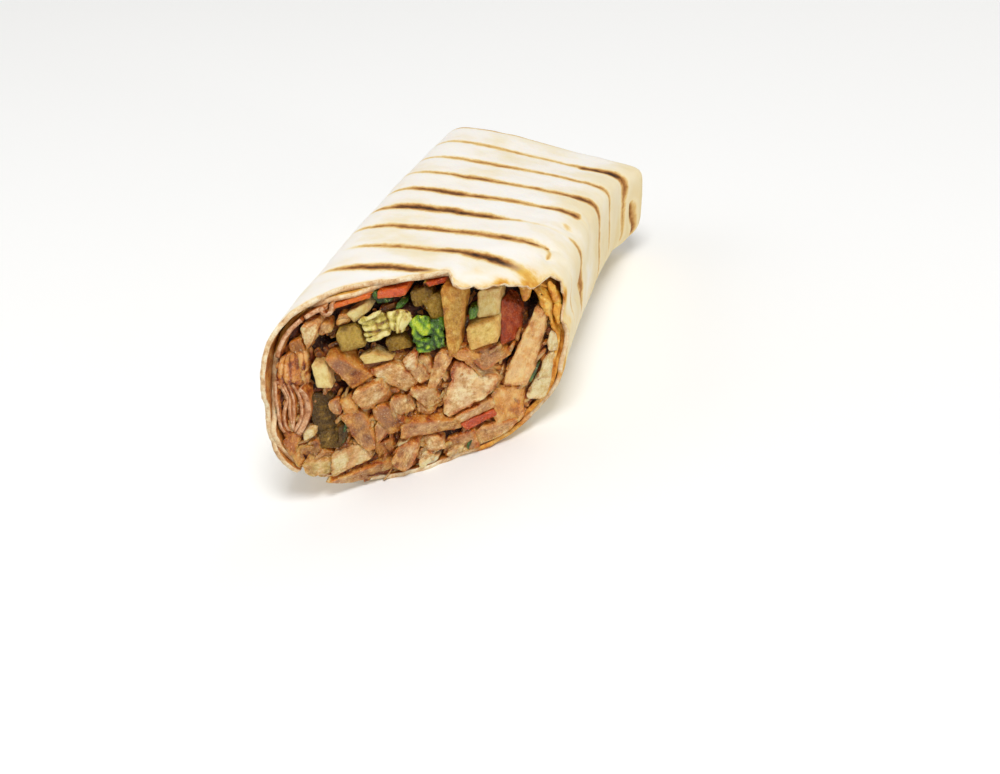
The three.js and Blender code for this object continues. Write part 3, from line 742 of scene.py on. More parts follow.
# %% The crumb at a torn edge
OUTER_CRUMB_SIZE = 2.4
INNER_CRUMB_SIZE = 1.4

# torn crumb of the outer turn: dry, tan and matt
bread_crumb, tree = new_material("torn edge of flatbread")
place = add(tree, "TexCoord", out="Object")
stain = add(tree, "Attribute", out="Fac", attribute_name="stain")
blotch = add(tree, "TexNoise", {"Vector": place, "Scale": per_mm(OUTER_CRUMB_SIZE), "Detail": 5.0,
                                "Roughness": 0.75})
clean = add(tree, "ValToRGB", {"Fac": blotch},
            ramp=[(0.3, "#a8764a"), (0.44, "#dcb482"), (0.56, "#eed9b0"), (0.72, "#f6eed8")])
saucy = add(tree, "ValToRGB", {"Fac": blotch},
            ramp=[(0.3, "#94480e"), (0.43, "#c87a1e"), (0.55, "#e4a440"), (0.72, "#f2d488")])
share = add(tree, "MapRange", {"Value": stain, "From Min": 0.75, "From Max": 0.98})
colour = add(tree, "Mix", {0: share, 6: clean, 7: saucy}, data_type="RGBA", out=2)
bump = add(tree, "Bump", {"Height": blotch, "Strength": 0.7, "Distance": 0.6 * MM})
surface = add(tree, "BsdfPrincipled", {"Base Color": colour, "Roughness": 0.55, "IOR": 1.4,
                                       "Normal": bump})
add(tree, "OutputMaterial", {"Surface": surface})

# cut crumb of the inner layers: damp, browner and a little glossy
inner_crumb, tree = new_material("cut edge of the inner layers")
place = add(tree, "TexCoord", out="Object")
blotch = add(tree, "TexNoise", {"Vector": place, "Scale": per_mm(INNER_CRUMB_SIZE), "Detail": 5.0,
                                "Roughness": 0.75})
colour = add(tree, "ValToRGB", {"Fac": blotch},
             ramp=[(0.3, "#7c3c18"), (0.42, "#b87848"), (0.54, "#d8a678"), (0.7, "#ecd0ac")])
bump = add(tree, "Bump", {"Height": blotch, "Strength": 0.7, "Distance": 0.4 * MM})
surface = add(tree, "BsdfPrincipled", {"Base Color": colour, "Roughness": 0.45, "IOR": 1.4,
                                       "Coat Weight": 0.3, "Coat Roughness": 0.12,
                                       "Normal": bump})
add(tree, "OutputMaterial", {"Surface": surface})
print("torn edges:", bread_crumb.name, "and", inner_crumb.name)

# %% [markdown]
# ## Giving the sheet its thickness
# The grid is the middle of the sheet. A Solidify modifier grows a wall to both sides of
# it, thinner where the vertex group says that the edge is torn, and gives its inner face
# and its rim finishes of their own.

# %% The wall of the bread
flatbread = to_object("rolled_flatbread", bread_bm, [grilled_bread, soaked_bread, bread_crumb])
flatbread.vertex_groups.new(name="thickness")
wall = flatbread.modifiers.new("wall", "SOLIDIFY")
wall.thickness = BREAD * MM
wall.offset = 0
wall.vertex_group = "thickness"
wall.material_offset = 1
wall.material_offset_rim = 2
belongs(flatbread, "bread", "flatbread")

# %% [markdown]
# ## The room inside the bread
# Everything from here on lies inside the bread, so the room there has to be known. The
# innermost face of the bread is measured all round the cut, as an angle and a reach from
# the middle. A point that lies further out is moved back along its angle. A boolean could
# cut every piece to the same room. Moving the points is quicker, and it presses the
# pieces against the bread, as rolling them up did.

# %% The room inside the bread
CORE_INSET = 0.1
ROOM_MIDDLE = np.array((-3.0, 22.0))
# how much narrower the room gets for each millimetre behind the cut
TAPER = 0.08
# low in the cut the face of the filling hangs over the bread's edge, in millimetres: by how
# much, from how far to how far below the middle, and how deep
OVERHANG = 1.0
OVERHANG_FROM, OVERHANG_TO = 6, 14
OVERHANG_DEEP = 2


def innermost(turn, row):
    """How deep the innermost face of the bread lies."""
    inner_turn = np.where(turn >= INNER_END, turn, turn + 1)
    return np.maximum(layer_depth(turn, row), layer_depth(inner_turn, row)) + BREAD / 2 + CORE_INSET


around_cut = np.linspace(0, 1, 181)
inner_edge = roll_points(around_cut, 0.0, innermost(around_cut, 0.0), 0.0)[0][:, [0, 2]]
edge_away = inner_edge - ROOM_MIDDLE
edge_angles = np.arctan2(edge_away[:, 1], edge_away[:, 0])
edge_reach = np.hypot(edge_away[:, 0], edge_away[:, 1])


def within_bread(place, behind):
    """Moves points of the cut that lie in the bread back to its inner face."""
    away = place - ROOM_MIDDLE
    room = np.interp(np.arctan2(away[:, 1], away[:, 0]), edge_angles, edge_reach, period=2 * math.pi)
    length = np.hypot(away[:, 0], away[:, 1])
    low = smooth(-away[:, 1], OVERHANG_FROM, OVERHANG_TO)
    room = room + OVERHANG * low * (behind < OVERHANG_DEEP)
    share = np.minimum(1, (room - TAPER * behind) / np.maximum(length, 0.001))
    return ROOM_MIDDLE + away * share[:, None]


print("the room inside the bread reaches", round(float(edge_reach.min()), 1), "to",
      round(float(edge_reach.max()), 1), "mm from its middle")

# %% [markdown]
# ## A tool for chopped pieces
# Most of what shows at the cut was chopped first, rolled in, and then sliced by the same
# knife as the bread. So every piece has one flat face in the cut, crisp edges, and sides
# that run back into the dark. A piece is drawn by the four corners of its face. A cube is
# divided, its edges are rounded, and its points are moved between those corners. A few
# corners are cut off at random, as a knife would, and noise makes the rest uneven. Three
# values go with each point: rim, from 0 on the cut face to 1 at its edge and on the
# sides, tint, which sets the piece's colour, and grain, the place inside the piece that
# its fibres follow.

# %% The chopping tool
IN_PLANE = 1 / math.cos(CUT_SLANT)
CORNER_SIDES = ((-1, 1), (1, 1), (1, -1), (-1, -1))
# how much closer the rows get towards the face, and how far its sides may lean
CROWDED = 1.6
SIDES_LEAN = 0.25
# sizes in millimetres: the nicks in an edge, the teeth of a frayed one, and the lumps
# and fibres on the surface
NICK_SIZE, SMALL_NICK_SIZE = 1.5, 0.7
TOOTH_SIZE = 0.9
LUMP_SIZE, SMALL_LUMP_SIZE = 2.6, 1.0
FIBRE_WIDTH, FIBRE_LENGTH = 0.8, 4


def span(start, stop):
    """The distance between two points of the cut, which is longer than it looks in x."""
    return math.hypot((stop[0] - start[0]) * IN_PLANE, stop[1] - start[1])


def cut_along(bm, axis, cuts):
    """Divides every edge of a cube that runs along one axis."""
    edges = [e for e in bm.edges
             if abs((e.verts[0].co - e.verts[1].co).normalized()[axis]) > 0.9]
    bmesh.ops.subdivide_edges(bm, edges=edges, cuts=cuts, use_grid_fill=True)


def store(bm, name, values):
    """Keeps one number or one vector with every point."""
    layers = bm.verts.layers.float_vector if np.ndim(values) == 2 else bm.verts.layers.float
    layer = layers.new(name)
    for vert, value in zip(bm.verts, values):
        vert[layer] = value


def as_mesh(bm):
    """The points and faces as a mesh, which frees the bmesh."""
    mesh = bpy.data.meshes.new("piece")
    bm.to_mesh(mesh)
    bm.free()
    return mesh


def chunk(corners, out=0.0, deep=8.0, tint=0.5, seed=0, soft=0.22, chop=0.5, lean=1.1, relief=0.08,
          ragged=0.22, fray=0.0, step=0.45, cuts_back=5):
    """A chopped piece whose face lies in the cut between four corners, clockwise from the
    upper left. It stands out of the cut by out and runs back by deep, in millimetres."""
    rng = np.random.default_rng(seed)
    upper_left, upper_right, lower_right, lower_left = np.array(corners, float)
    width = (span(upper_left, upper_right) + span(lower_left, lower_right)) / 2
    height = (span(upper_left, lower_left) + span(upper_right, lower_right)) / 2
    half = np.array([width, height, deep]) / 2
    soft = min(soft, 0.4 * width, 0.4 * height)
    bm = bmesh.new()
    bmesh.ops.create_cube(bm, size=2)
    cut_along(bm, 0, max(3, round(width / step)))
    cut_along(bm, 1, max(3, round(height / step)))
    cut_along(bm, 2, cuts_back)
    # the rows crowd near the face, and the edges are rounded off
    points = np.array([vert.co for vert in bm.verts])
    points[:, 2] = 1 - 2 * ((1 - points[:, 2]) / 2) ** CROWDED
    points *= half
    core = np.clip(points, soft - half, half - soft)
    away = points - core
    points = core + away * soft / np.maximum(1e-6, np.linalg.norm(away, axis=1, keepdims=True))
    # each corner is cut off by a different amount
    u, v, w = (points / half).T
    for side, top in CORNER_SIDES:
        excess = np.maximum(0, u * side + v * top - 2 + chop * rng.random())
        u, v = u - side * excess / 2, v - top * excess / 2
    # from the cube to its place between the four corners, with sides that lean a little
    behind = (1 - w) / 2
    upper = upper_left + (upper_right - upper_left) * ((u + 1) / 2)[:, None]
    lower = lower_left + (lower_right - lower_left) * ((u + 1) / 2)[:, None]
    place = lower + (upper - lower) * ((v + 1) / 2)[:, None]
    place += rng.uniform(-SIDES_LEAN, SIDES_LEAN, 2) * min(width, height) * behind[:, None]
    # nicks in the edge, and teeth where the meat frayed
    edge = np.maximum(abs(u), abs(v)) ** 3
    away = rng.uniform(0, 90)
    nudge = np.array([noise.noise_vector(Vector((x, z, away)) / NICK_SIZE)
                      + 0.6 * noise.noise_vector(Vector((x, z, away)) / SMALL_NICK_SIZE) for x, z in place])
    place += ragged * edge[:, None] * nudge[:, :2]
    if fray:
        comb = np.array([abs(noise.noise(Vector((s * width / TOOTH_SIZE, away, 0)))) for s in u])
        place += ((upper - lower) * (fray * comb * np.maximum(0, v) ** 3)[:, None]) / height
    # the face is tilted, and all of it is kept inside the bread
    slope = lean * rng.uniform(-1, 1, 2) * np.minimum(1, np.array([width, height]) / 5)
    front = out + (slope[0] * u + slope[1] * v) * (1 - behind)
    place = within_bread(place, behind * deep)
    y = cut_y(place[:, 0], place[:, 1]) - front + behind * (deep + front)
    # fibres run along the longer side of the face
    inside = points[:, [1, 0, 2]] if width > height else points
    inside = inside + rng.uniform(0, 200, 3)
    for vert, x, y, z in zip(bm.verts, place[:, 0], y, place[:, 1]):
        vert.co = (x, y, z)
    rim = np.maximum(smooth(np.maximum(abs(u), abs(v)), 0.6, 1.0), smooth(behind, 0.0, 0.1))
    store(bm, "rim", rim)
    store(bm, "tint", np.full(len(u), np.clip(tint + rng.uniform(-0.06, 0.06), 0, 1)))
    store(bm, "grain", inside)
    bm.normal_update()
    for vert, place, side in zip(bm.verts, inside, rim):
        lump = (0.6 * noise.noise(Vector(place) / LUMP_SIZE)
                + 0.4 * noise.noise(Vector(place) / SMALL_LUMP_SIZE))
        fibre = noise.noise(Vector((place[0] / FIBRE_WIDTH, place[1] / FIBRE_LENGTH,
                                    place[2] / FIBRE_LENGTH)))
        vert.co += vert.normal * relief * ((0.6 + side) * lump + 1.2 * fibre)
    return as_mesh(bm)


print("one millimetre in x is", round(IN_PLANE, 2), "mm long in the cut")

# %% [markdown]
# ## Thin leaves
# Bread, lettuce, cabbage and onion come in thin layers. Where the knife crossed one, its
# edge shows as a line in the cut and the layer runs back from there: that is a ribbon,
# drawn by a few points that are rounded off by cutting corners. Where one was folded
# forward, its crinkled face shows: that is a flap between four corners, like a chopped
# piece without depth. Both are grids, and a Solidify modifier gives them their thickness.

# %% Ribbons and flaps
RIBBON_STEP, RIBBON_ROWS = 0.45, 10
LEAF_STEP = 0.35
CORNER_ROUNDS = 3
# sizes in millimetres: how fast a ribbon sways, and a leaf's buckles and wrinkles
SWAY_SIZE = 3
BUCKLE_SIZE, WRINKLE_SIZE = 2.2, 0.8


def rounded_path(points):
    """The path with its corners cut off again and again until it is smooth."""
    path = np.array(points, float)
    for _ in range(CORNER_ROUNDS):
        before, after = path[:-1], path[1:]
        middle = np.stack([before * 0.75 + after * 0.25, before * 0.25 + after * 0.75], 1).reshape(-1, 2)
        path = np.vstack([path[:1], middle[1:-1], path[-1:]])
    return path


def ribbon(points, reach, out=0.0, seed=0, wave=0.4):
    """A thin layer that the knife crossed along a path in the cut."""
    path = rounded_path(points)
    lengths = np.concatenate(([0], np.cumsum([span(a, b) for a, b in zip(path[:-1], path[1:])])))
    steps = max(4, round(lengths[-1] / RIBBON_STEP))
    bm = bmesh.new()
    bmesh.ops.create_grid(bm, x_segments=steps, y_segments=RIBBON_ROWS, size=1)
    share = np.array([(vert.co.x + 1) / 2 for vert in bm.verts])
    back = np.array([((vert.co.y + 1) / 2) ** 1.5 for vert in bm.verts])
    x = np.interp(share * lengths[-1], lengths, path[:, 0])
    z = np.interp(share * lengths[-1], lengths, path[:, 1])
    sway = np.array([noise.noise_vector(Vector((a / SWAY_SIZE, b / SWAY_SIZE, seed * 3.7)))
                     for a, b in zip(share * lengths[-1], back * reach)])
    x = x + wave * sway[:, 0] * (0.4 + back)
    z = z + wave * sway[:, 1] * (0.4 + back)
    x, z = within_bread(np.stack([x, z], -1), back * reach).T
    y = cut_y(x, z) - out + back * reach + 0.6 * wave * sway[:, 2]
    for vert, place in zip(bm.verts, np.stack([x, y, z], -1)):
        vert.co = place
    store(bm, "stain", np.ones(len(x)))
    return as_mesh(bm)


def flap(corners, out=0.5, tint=0.4, seed=0, crinkle=0.7, stripe=0.0, stripe_turn=0.0, frill=0.5, bulge=0.0,
         in_room=True):
    """A leaf folded forward so that its crinkled face shows between four corners. The
    ribs of a leaf are stripe apart, in millimetres, and none are drawn if it is 0."""
    upper_left, upper_right, lower_right, lower_left = np.array(corners, float)
    width = (span(upper_left, upper_right) + span(lower_left, lower_right)) / 2
    height = (span(upper_left, lower_left) + span(upper_right, lower_right)) / 2
    bm = bmesh.new()
    bmesh.ops.create_grid(bm, x_segments=max(4, round(width / LEAF_STEP)),
                          y_segments=max(4, round(height / LEAF_STEP)), size=1)
    u = np.array([vert.co.x for vert in bm.verts])
    v = np.array([vert.co.y for vert in bm.verts])
    if bulge:
        u, v = u * np.sqrt(1 - v * v / 4), v * np.sqrt(1 - u * u / 4)
    upper = upper_left + (upper_right - upper_left) * ((u + 1) / 2)[:, None]
    lower = lower_left + (lower_right - lower_left) * ((u + 1) / 2)[:, None]
    place = lower + (upper - lower) * ((v + 1) / 2)[:, None]
    across, along = u * width / 2, v * height / 2
    edge = np.maximum(abs(u), abs(v)) ** 4
    coarse = np.array([noise.noise_vector(Vector((a / BUCKLE_SIZE, b / BUCKLE_SIZE, seed * 3.1)))
                       for a, b in zip(across, along)])
    fine = np.array([noise.noise(Vector((a / WRINKLE_SIZE, b / WRINKLE_SIZE, seed * 7.3)))
                     for a, b in zip(across, along)])
    place += frill * (edge + 0.3)[:, None] * coarse[:, :2]
    turned = across * math.cos(stripe_turn) + along * math.sin(stripe_turn)
    ridge = np.cos(turned / stripe * 2 * math.pi + 0.8 * coarse[:, 0]) if stripe else 0 * u
    creased = 0.35 - abs(coarse[:, 2]) * 1.6
    front = (out + crinkle * (1.6 * creased + 0.5 * fine) + 0.22 * ridge + bulge * (1 - u * u) * (1 - v * v)
             - 1.4 * edge * (0.5 + coarse[:, 0]))
    place = within_bread(place, 0 * u) if in_room else place
    y = cut_y(place[:, 0], place[:, 1]) - front
    for vert, x, y, z in zip(bm.verts, place[:, 0], y, place[:, 1]):
        vert.co = (x, y, z)
    store(bm, "rim", smooth(np.maximum(abs(u), abs(v)), 0.8, 1.0))
    # the raised ribs and crinkles are painted lighter and the creases darker: painted light and shade
    store(bm, "tint", np.clip(tint - 0.25 * ridge - 0.7 * creased + 0.3 * fine, 0, 1))
    store(bm, "stain", np.ones(len(u)))
    store(bm, "grain", np.stack([across, along, np.full(len(u), seed * 5.0)], -1))
    return as_mesh(bm)


def gather(name, meshes, materials, wall=0.0):
    """Several small meshes as one object, with a wall thickness if they are thin leaves."""
    parts = [bpy.data.objects.new(name, mesh) for mesh in meshes]
    for part in parts:
        bpy.context.scene.collection.objects.link(part)
    if len(parts) > 1:
        with bpy.context.temp_override(active_object=parts[0], object=parts[0],
                                       selected_editable_objects=parts, selected_objects=parts):
            bpy.ops.object.join()
    made = parts[0]
    made.name = name
    made.data.transform(TO_FRAME)
    made.data.polygons.foreach_set("use_smooth", [True] * len(made.data.polygons))
    for material in materials:
        made.data.materials.append(material)
    if wall:
        solid = made.modifiers.new("wall", "SOLIDIFY")
        solid.thickness = wall * MM
        solid.offset = 0
        solid.material_offset_rim = len(materials) - 1
    return made


print("a path of 3 points is rounded to", len(rounded_path([(0, 0), (1, 0), (1, 1)])), "points")

# %% [markdown]
# ## The finish of the filling
# Roast chicken, fried potato, pickle, carrot and onion differ in colour, but they all sit
# in the same sauce and were cut with the same knife. So one recipe serves them all: a
# pale cut face whose colour varies along the grain, films of orange sauce on it, and more
# sauce round its rim and down its sides. It takes the food's colours as stops, and how
# wet, grainy and saucy it is.

# %% One recipe for chopped food
SAUCE = [(0.25, "#5c2204"), (0.38, "#a84c08"), (0.5, "#d47c14"), (0.62, "#e8a02c"), (0.85, "#f4c860")]
# the faint yellow of a film of oil
OIL = "#fffde8"
# sizes in millimetres. The specks are painted highlights, glints on drops finer than this and flecks of fat,
# drawn coarser so that they show
MOTTLE_SIZE = 2.2
PATCH_SIZE = 5
SPECK_SIZE = 0.42
PIT_DEPTH = 0.7
# how far light travels inside wet food, in millimetres
GLOW_REACH = 1.6


def chopped_food(name, stops, wetness=0.4, stretch=0.5, size=0.6, sauce=0.85, film=0.6, sauce_stops=SAUCE,
                 glow=0.45, glow_colour=(1.0, 0.6, 0.25), coat=0.8, blush="#b87850", blushing=0.3,
                 gleam="#fff2d4", specks=0.5, grainy=0.2):
    """A cut face in the food's own colours, with sauce on it, round its rim and down its sides, and bright
    specks of painted highlight.
    Its fibres are size millimetres wide and size / stretch long."""
    material, tree = new_material(name)
    where = add(tree, "TexCoord", out="Object")
    inside = add(tree, "Attribute", out="Vector", attribute_name="grain")
    tint = add(tree, "Attribute", out="Fac", attribute_name="tint")
    rim = add(tree, "Attribute", out="Fac", attribute_name="rim")
    along = add(tree, "Mapping", {"Vector": inside, "Scale": (1.0, stretch, 0.5)})
    fibre = add(tree, "TexNoise", {"Vector": along, "Scale": 1 / size, "Detail": 5.0,
                                   "Roughness": 0.7})
    blotch = add(tree, "TexNoise", {"Vector": where, "Scale": per_mm(MOTTLE_SIZE), "Detail": 6.0,
                                    "Roughness": 0.68})
    speck = add(tree, "TexNoise", {"Vector": where, "Scale": per_mm(SPECK_SIZE), "Detail": 2.0})
    patch = add(tree, "TexNoise", {"Vector": where, "Scale": per_mm(PATCH_SIZE), "Detail": 3.0})
    # the flesh, mottled along its grain and from place to place, pink in some places
    spread = add(tree, "MapRange", {"Value": fibre, "From Min": 0.3, "From Max": 0.7, "To Min": -grainy,
                                    "To Max": grainy})
    mottle = add(tree, "MapRange", {"Value": blotch, "From Min": 0.3, "From Max": 0.7,
                                    "To Min": 1.3 * grainy, "To Max": -1.3 * grainy})
    tone = add(tree, "Math", {0: tint, 1: spread}, operation="ADD")
    tone = add(tree, "Math", {0: tone, 1: mottle}, operation="ADD")
    flesh = add(tree, "ValToRGB", {"Fac": tone}, ramp=stops)
    pink = add(tree, "MapRange", {"Value": patch, "From Min": 0.45, "From Max": 0.6, "To Min": 0.0,
                                  "To Max": blushing})
    flesh = add(tree, "Mix", {0: pink, 6: flesh, 7: linear(blush)}, data_type="RGBA", out=2)
    # sauce that thickens towards the rim and down the sides, and pools on the face
    sauce_colour = add(tree, "ValToRGB", {"Fac": blotch}, ramp=sauce_stops)
    thick = add(tree, "MapRange", {"Value": blotch, "From Min": 0.35, "From Max": 0.65,
                                   "To Min": 1.25 * sauce, "To Max": 0.4 * sauce})
    sides = add(tree, "Math", {0: rim, 1: thick}, operation="MULTIPLY")
    filmed = add(tree, "MapRange", {"Value": patch, "From Min": 0.5, "From Max": 0.36, "To Min": 0.0,
                                    "To Max": film})
    amount = add(tree, "Math", {0: sides, 1: filmed}, operation="MAXIMUM", use_clamp=True)
    colour = add(tree, "Mix", {0: amount, 6: flesh, 7: sauce_colour}, data_type="RGBA", out=2)
    # painted highlights: specks in a bright colour for glints on drops of juice, and flecks of fat
    bright = add(tree, "MapRange", {"Value": speck, "From Min": 0.63, "From Max": 0.72, "To Min": 0.0,
                                    "To Max": specks})
    colour = add(tree, "Mix", {0: bright, 6: colour, 7: linear(gleam)}, data_type="RGBA", out=2)
    # oil and juice warm every colour a little
    colour = add(tree, "Mix", {0: 1.0, 6: colour, 7: linear(OIL)}, data_type="RGBA",
                 blend_type="MULTIPLY", out=2)
    # pits, fibres and drops, which the coat of juice follows too, or its glints would be smooth
    height = add(tree, "Math", {0: blotch, 1: 1.0, 2: fibre}, operation="MULTIPLY_ADD")
    height = add(tree, "Math", {0: speck, 1: 0.35, 2: height}, operation="MULTIPLY_ADD")
    bump = add(tree, "Bump", {"Height": height, "Strength": 0.8, "Distance": PIT_DEPTH * MM})
    gloss = add(tree, "MapRange", {"Value": blotch, "From Min": 0.35, "From Max": 0.65,
                                   "To Min": wetness - 0.14, "To Max": wetness + 0.12})
    surface = add(tree, "BsdfPrincipled", {"Base Color": colour, "Roughness": gloss, "IOR": 1.4,
                                           "Subsurface Weight": glow, "Subsurface Radius": glow_colour,
                                           "Subsurface Scale": GLOW_REACH * MM, "Specular IOR Level": 0.4,
                                           "Coat Weight": coat, "Coat Roughness": 0.12, "Coat IOR": 1.5,
                                           "Normal": bump, "Coat Normal": bump})
    add(tree, "OutputMaterial", {"Surface": surface})
    return material


print("sauce runs through", len(SAUCE), "colours")

# %% [markdown]
# ## The finishes of the meat
# Each food gives the recipe its colours, from the palest of its cut face to the darkest
# of its skin, and says how wet, grainy and see-through it is. The colours are those of
# food that has been lying in warm sauce, so the greens are yellowish and nothing is white.

# %% Chicken and soaked bread
# breast and thigh: pale and pink inside, browned skin, sauce in the fibres
roast_chicken = chopped_food(
    "roast chicken",
    [(0.0, "#fcecc8"), (0.22, "#dcb278"), (0.46, "#ac743a"), (0.72, "#6a3610"), (1.0, "#220c02")],
    film=0.45, sauce=0.95, blush="#cc8c68", blushing=0.4)
# the same in the gaps, darker from juice and from painted shade for the gaps
pulled_chicken = chopped_food(
    "pulled chicken in the gaps",
    [(0.0, "#dcb880"), (0.3, "#a46a32"), (0.6, "#582808"), (0.85, "#220c02"), (1.0, "#0c0401")],
    film=0.4)
# pieces under sauce: orange all over and smoother
saucy_chicken = chopped_food(
    "roast chicken under sauce",
    [(0.0, "#f8dca8"), (0.35, "#e6ac60"), (0.7, "#ae5e18"), (1.0, "#542004")],
    sauce=0.7, film=0.7, wetness=0.3, coat=0.4, glow=0.5, blushing=0.4, blush="#d48a5c", grainy=0.2)
# bread that has turned soft under sauce: it shines like the meat and is as orange
bread_folds = chopped_food(
    "folds of bread under orange sauce",
    [(0.0, "#efb878"), (0.35, "#d98c34"), (0.65, "#a04c0e"), (1.0, "#481404")],
    sauce=1.0, film=0.5, wetness=0.3, blushing=0.2, blush="#d87a3c", grainy=0.26,
    sauce_stops=[(0.3, "#380e04"), (0.5, "#8c340a"), (0.7, "#cf7418")])
print("finishes:", [made.name for made in (roast_chicken, pulled_chicken, saucy_chicken, bread_folds)])

# %% [markdown]
# ## Fries and vegetables
# The same recipe serves for plants. Their cells are finer than meat, so they differ from
# it mostly in colour, in gloss and in how much light goes through them.

# %% Fries, vegetables and leaves
# mealy and matt, light yellow inside with a golden crust
fried_potato = chopped_food(
    "fried potato",
    [(0.0, "#f6e2aa"), (0.35, "#e6c472"), (0.7, "#be882e"), (1.0, "#7a4814")],
    stretch=0.6, sauce=0.5, film=0.4, wetness=0.42, coat=0.25, glow=0.3, blushing=0.0, specks=0.3)
# strong orange, firm and evenly shiny
carrot_flesh = chopped_food(
    "carrot",
    [(0.0, "#f08412"), (0.5, "#dc5404"), (1.0, "#962404")],
    sauce=0.35, film=0.3, wetness=0.32, blushing=0.0, gleam="#fbb468",
    sauce_stops=[(0.3, "#a82c08"), (0.7, "#e8781c")])
# dull olive, glassy where it is thin
pickle_flesh = chopped_food(
    "pickled cucumber",
    [(0.0, "#ccaa50"), (0.35, "#a27c26"), (0.7, "#5a3e08"), (1.0, "#2c1a02")],
    stretch=1.0, sauce=0.6, film=0.3, coat=0.35, wetness=0.28, blushing=0.0, gleam="#cdb878",
    specks=0.25, grainy=0.18, sauce_stops=[(0.3, "#2c1c06"), (0.7, "#86601e")])
# brick red, with the pale core of the fruit showing through
tomato_flesh = chopped_food(
    "ripe tomato",
    [(0.0, "#e08440"), (0.5, "#b24008"), (1.0, "#5c1402")],
    sauce=0.5, coat=0.5, stretch=0.7, wetness=0.26, glow=0.3, film=0.25, blushing=0.3, blush="#c07038",
    gleam="#e8a888", specks=0.3, sauce_stops=[(0.3, "#481004"), (0.7, "#a8441a")])
# cloudy and see-through, taking on the colour of the sauce
onion_flesh = chopped_food(
    "raw onion",
    [(0.0, "#f0e2c0"), (0.45, "#d4b472"), (1.0, "#946a28")],
    sauce=0.6, film=0.6, wetness=0.22, glow=0.5, glow_colour=(1.0, 0.8, 0.4), blushing=0.2,
    blush="#d8b080", coat=0.5, grainy=0.3)
# fresh yellow-green on its ribs, dark green between them, partly the leaf's own colour and partly painted
# light and shade, with no sauce film
fresh_leaf = chopped_food(
    "lettuce",
    [(0.0, "#cadc2c"), (0.25, "#8cb414"), (0.55, "#4e7c0a"), (1.0, "#183606")],
    stretch=0.6, sauce=0.2, film=0.0, wetness=0.3, glow=0.2, glow_colour=(0.5, 1.0, 0.2),
    blushing=0.0, gleam="#eef8b0", specks=0.4, grainy=0.22,
    sauce_stops=[(0.3, "#1c3006"), (0.7, "#6c8c1c")])
# pale ribs, and olive-brown in the creases, which are painted darker as painted shade
pale_leaf = chopped_food(
    "cabbage",
    [(0.0, "#fbf0b0"), (0.3, "#e2d070"), (0.55, "#b09c38"), (0.8, "#7c5c20"), (1.0, "#3c260a")],
    stretch=0.4, sauce=0.5, film=0.5, wetness=0.34, glow=0.15, glow_colour=(0.8, 1.0, 0.4),
    blushing=0.0, grainy=0.2)
print("finishes:", [made.name for made in (fried_potato, carrot_flesh, pickle_flesh, tomato_flesh,
                                           onion_flesh, fresh_leaf, pale_leaf)])

# %% [markdown]
# ## The core of the filling
# Behind the pieces that can be told apart, the wrap is packed with the same food soaked
# in orange-brown sauce. The core is a sphere whose rings are moved to follow the inside
# of the bread. Its front lies a little behind the cut and is rough, and it sinks into
# hollows where the pieces left gaps. The hollows are painted nearly black, and the lumps
# that stand forward lighter: painted shade. The hollows are listed by place and size.

# %% The core
# where the core starts and ends, as shares of the way from the cut to the end
CORE_ROWS = (0.02, 0.93)
CORE_STEPS = 160
CORE_RINGS = 40
CORE_FRONT_RINGS = 44
# how far the front lies behind the cut, in the middle and at its edge, and how rough it is
FRONT_BEHIND = (1.5, 0.4)
FRONT_ROUGH = 1.1
# above this height the front lies deeper, and it is painted darker as painted shade under the overhanging
# bread
GLOOM_FROM, GLOOM_TO = 26, 31
GLOOM_DEEP = 1.4
HOLLOWS = (
    # x, z, half width, half height, depth
    (-19.8, 36.4, 2.6, 2.0, 5.0), (-16.4, 26.6, 1.9, 2.6, 5.0), (-22.6, 31.0, 1.3, 4.0, 4.0),
    (-15.2, 32.0, 2.2, 1.2, 4.0), (-11.2, 32.4, 2.2, 1.6, 4.0), (-11.0, 41.8, 3.4, 1.5, 3.5),
    (-6.2, 40.4, 1.3, 2.6, 5.0), (-0.8, 42.2, 1.5, 2.2, 6.0), (2.2, 24.6, 1.6, 1.4, 4.0),
    (7.4, 24.4, 3.0, 1.2, 3.5), (13.8, 35.6, 3.6, 3.0, 7.0), (16.6, 33.0, 1.6, 2.6, 6.0),
    (12.6, 21.0, 1.2, 2.2, 3.5), (-0.2, 14.2, 1.5, 1.0, 3.5), (-9.8, 16.0, 0.8, 3.2, 3.0),
    (-8.4, 20.4, 1.6, 0.8, 3.0), (-10.8, 8.2, 1.8, 1.4, 3.0), (-12.4, 20.6, 1.2, 1.0, 2.5),
    (-20.2, 20.0, 2.6, 6.0, 2.0), (-1.6, 23.4, 1.0, 1.6, 3.0), (-23.2, 43.6, 2.4, 2.4, 3.5),
    (-5.4, 42.8, 1.2, 3.0, 6.0), (-23.5, 33.5, 1.2, 3.2, 4.0), (11.9, 24.0, 1.0, 2.4, 4.0),
)


def hollow_depth(x, z):
    """How far the filling sinks behind the cut, and how much of a hollow this is."""
    deepest, most = 0.0, 0.0
    for middle_x, middle_z, half_x, half_z, depth in HOLLOWS:
        share = float(hump(math.hypot((x - middle_x) / half_x, (z - middle_z) / half_z), 0, 1.25))
        deepest, most = max(deepest, depth * share), max(most, share)
    return deepest, most


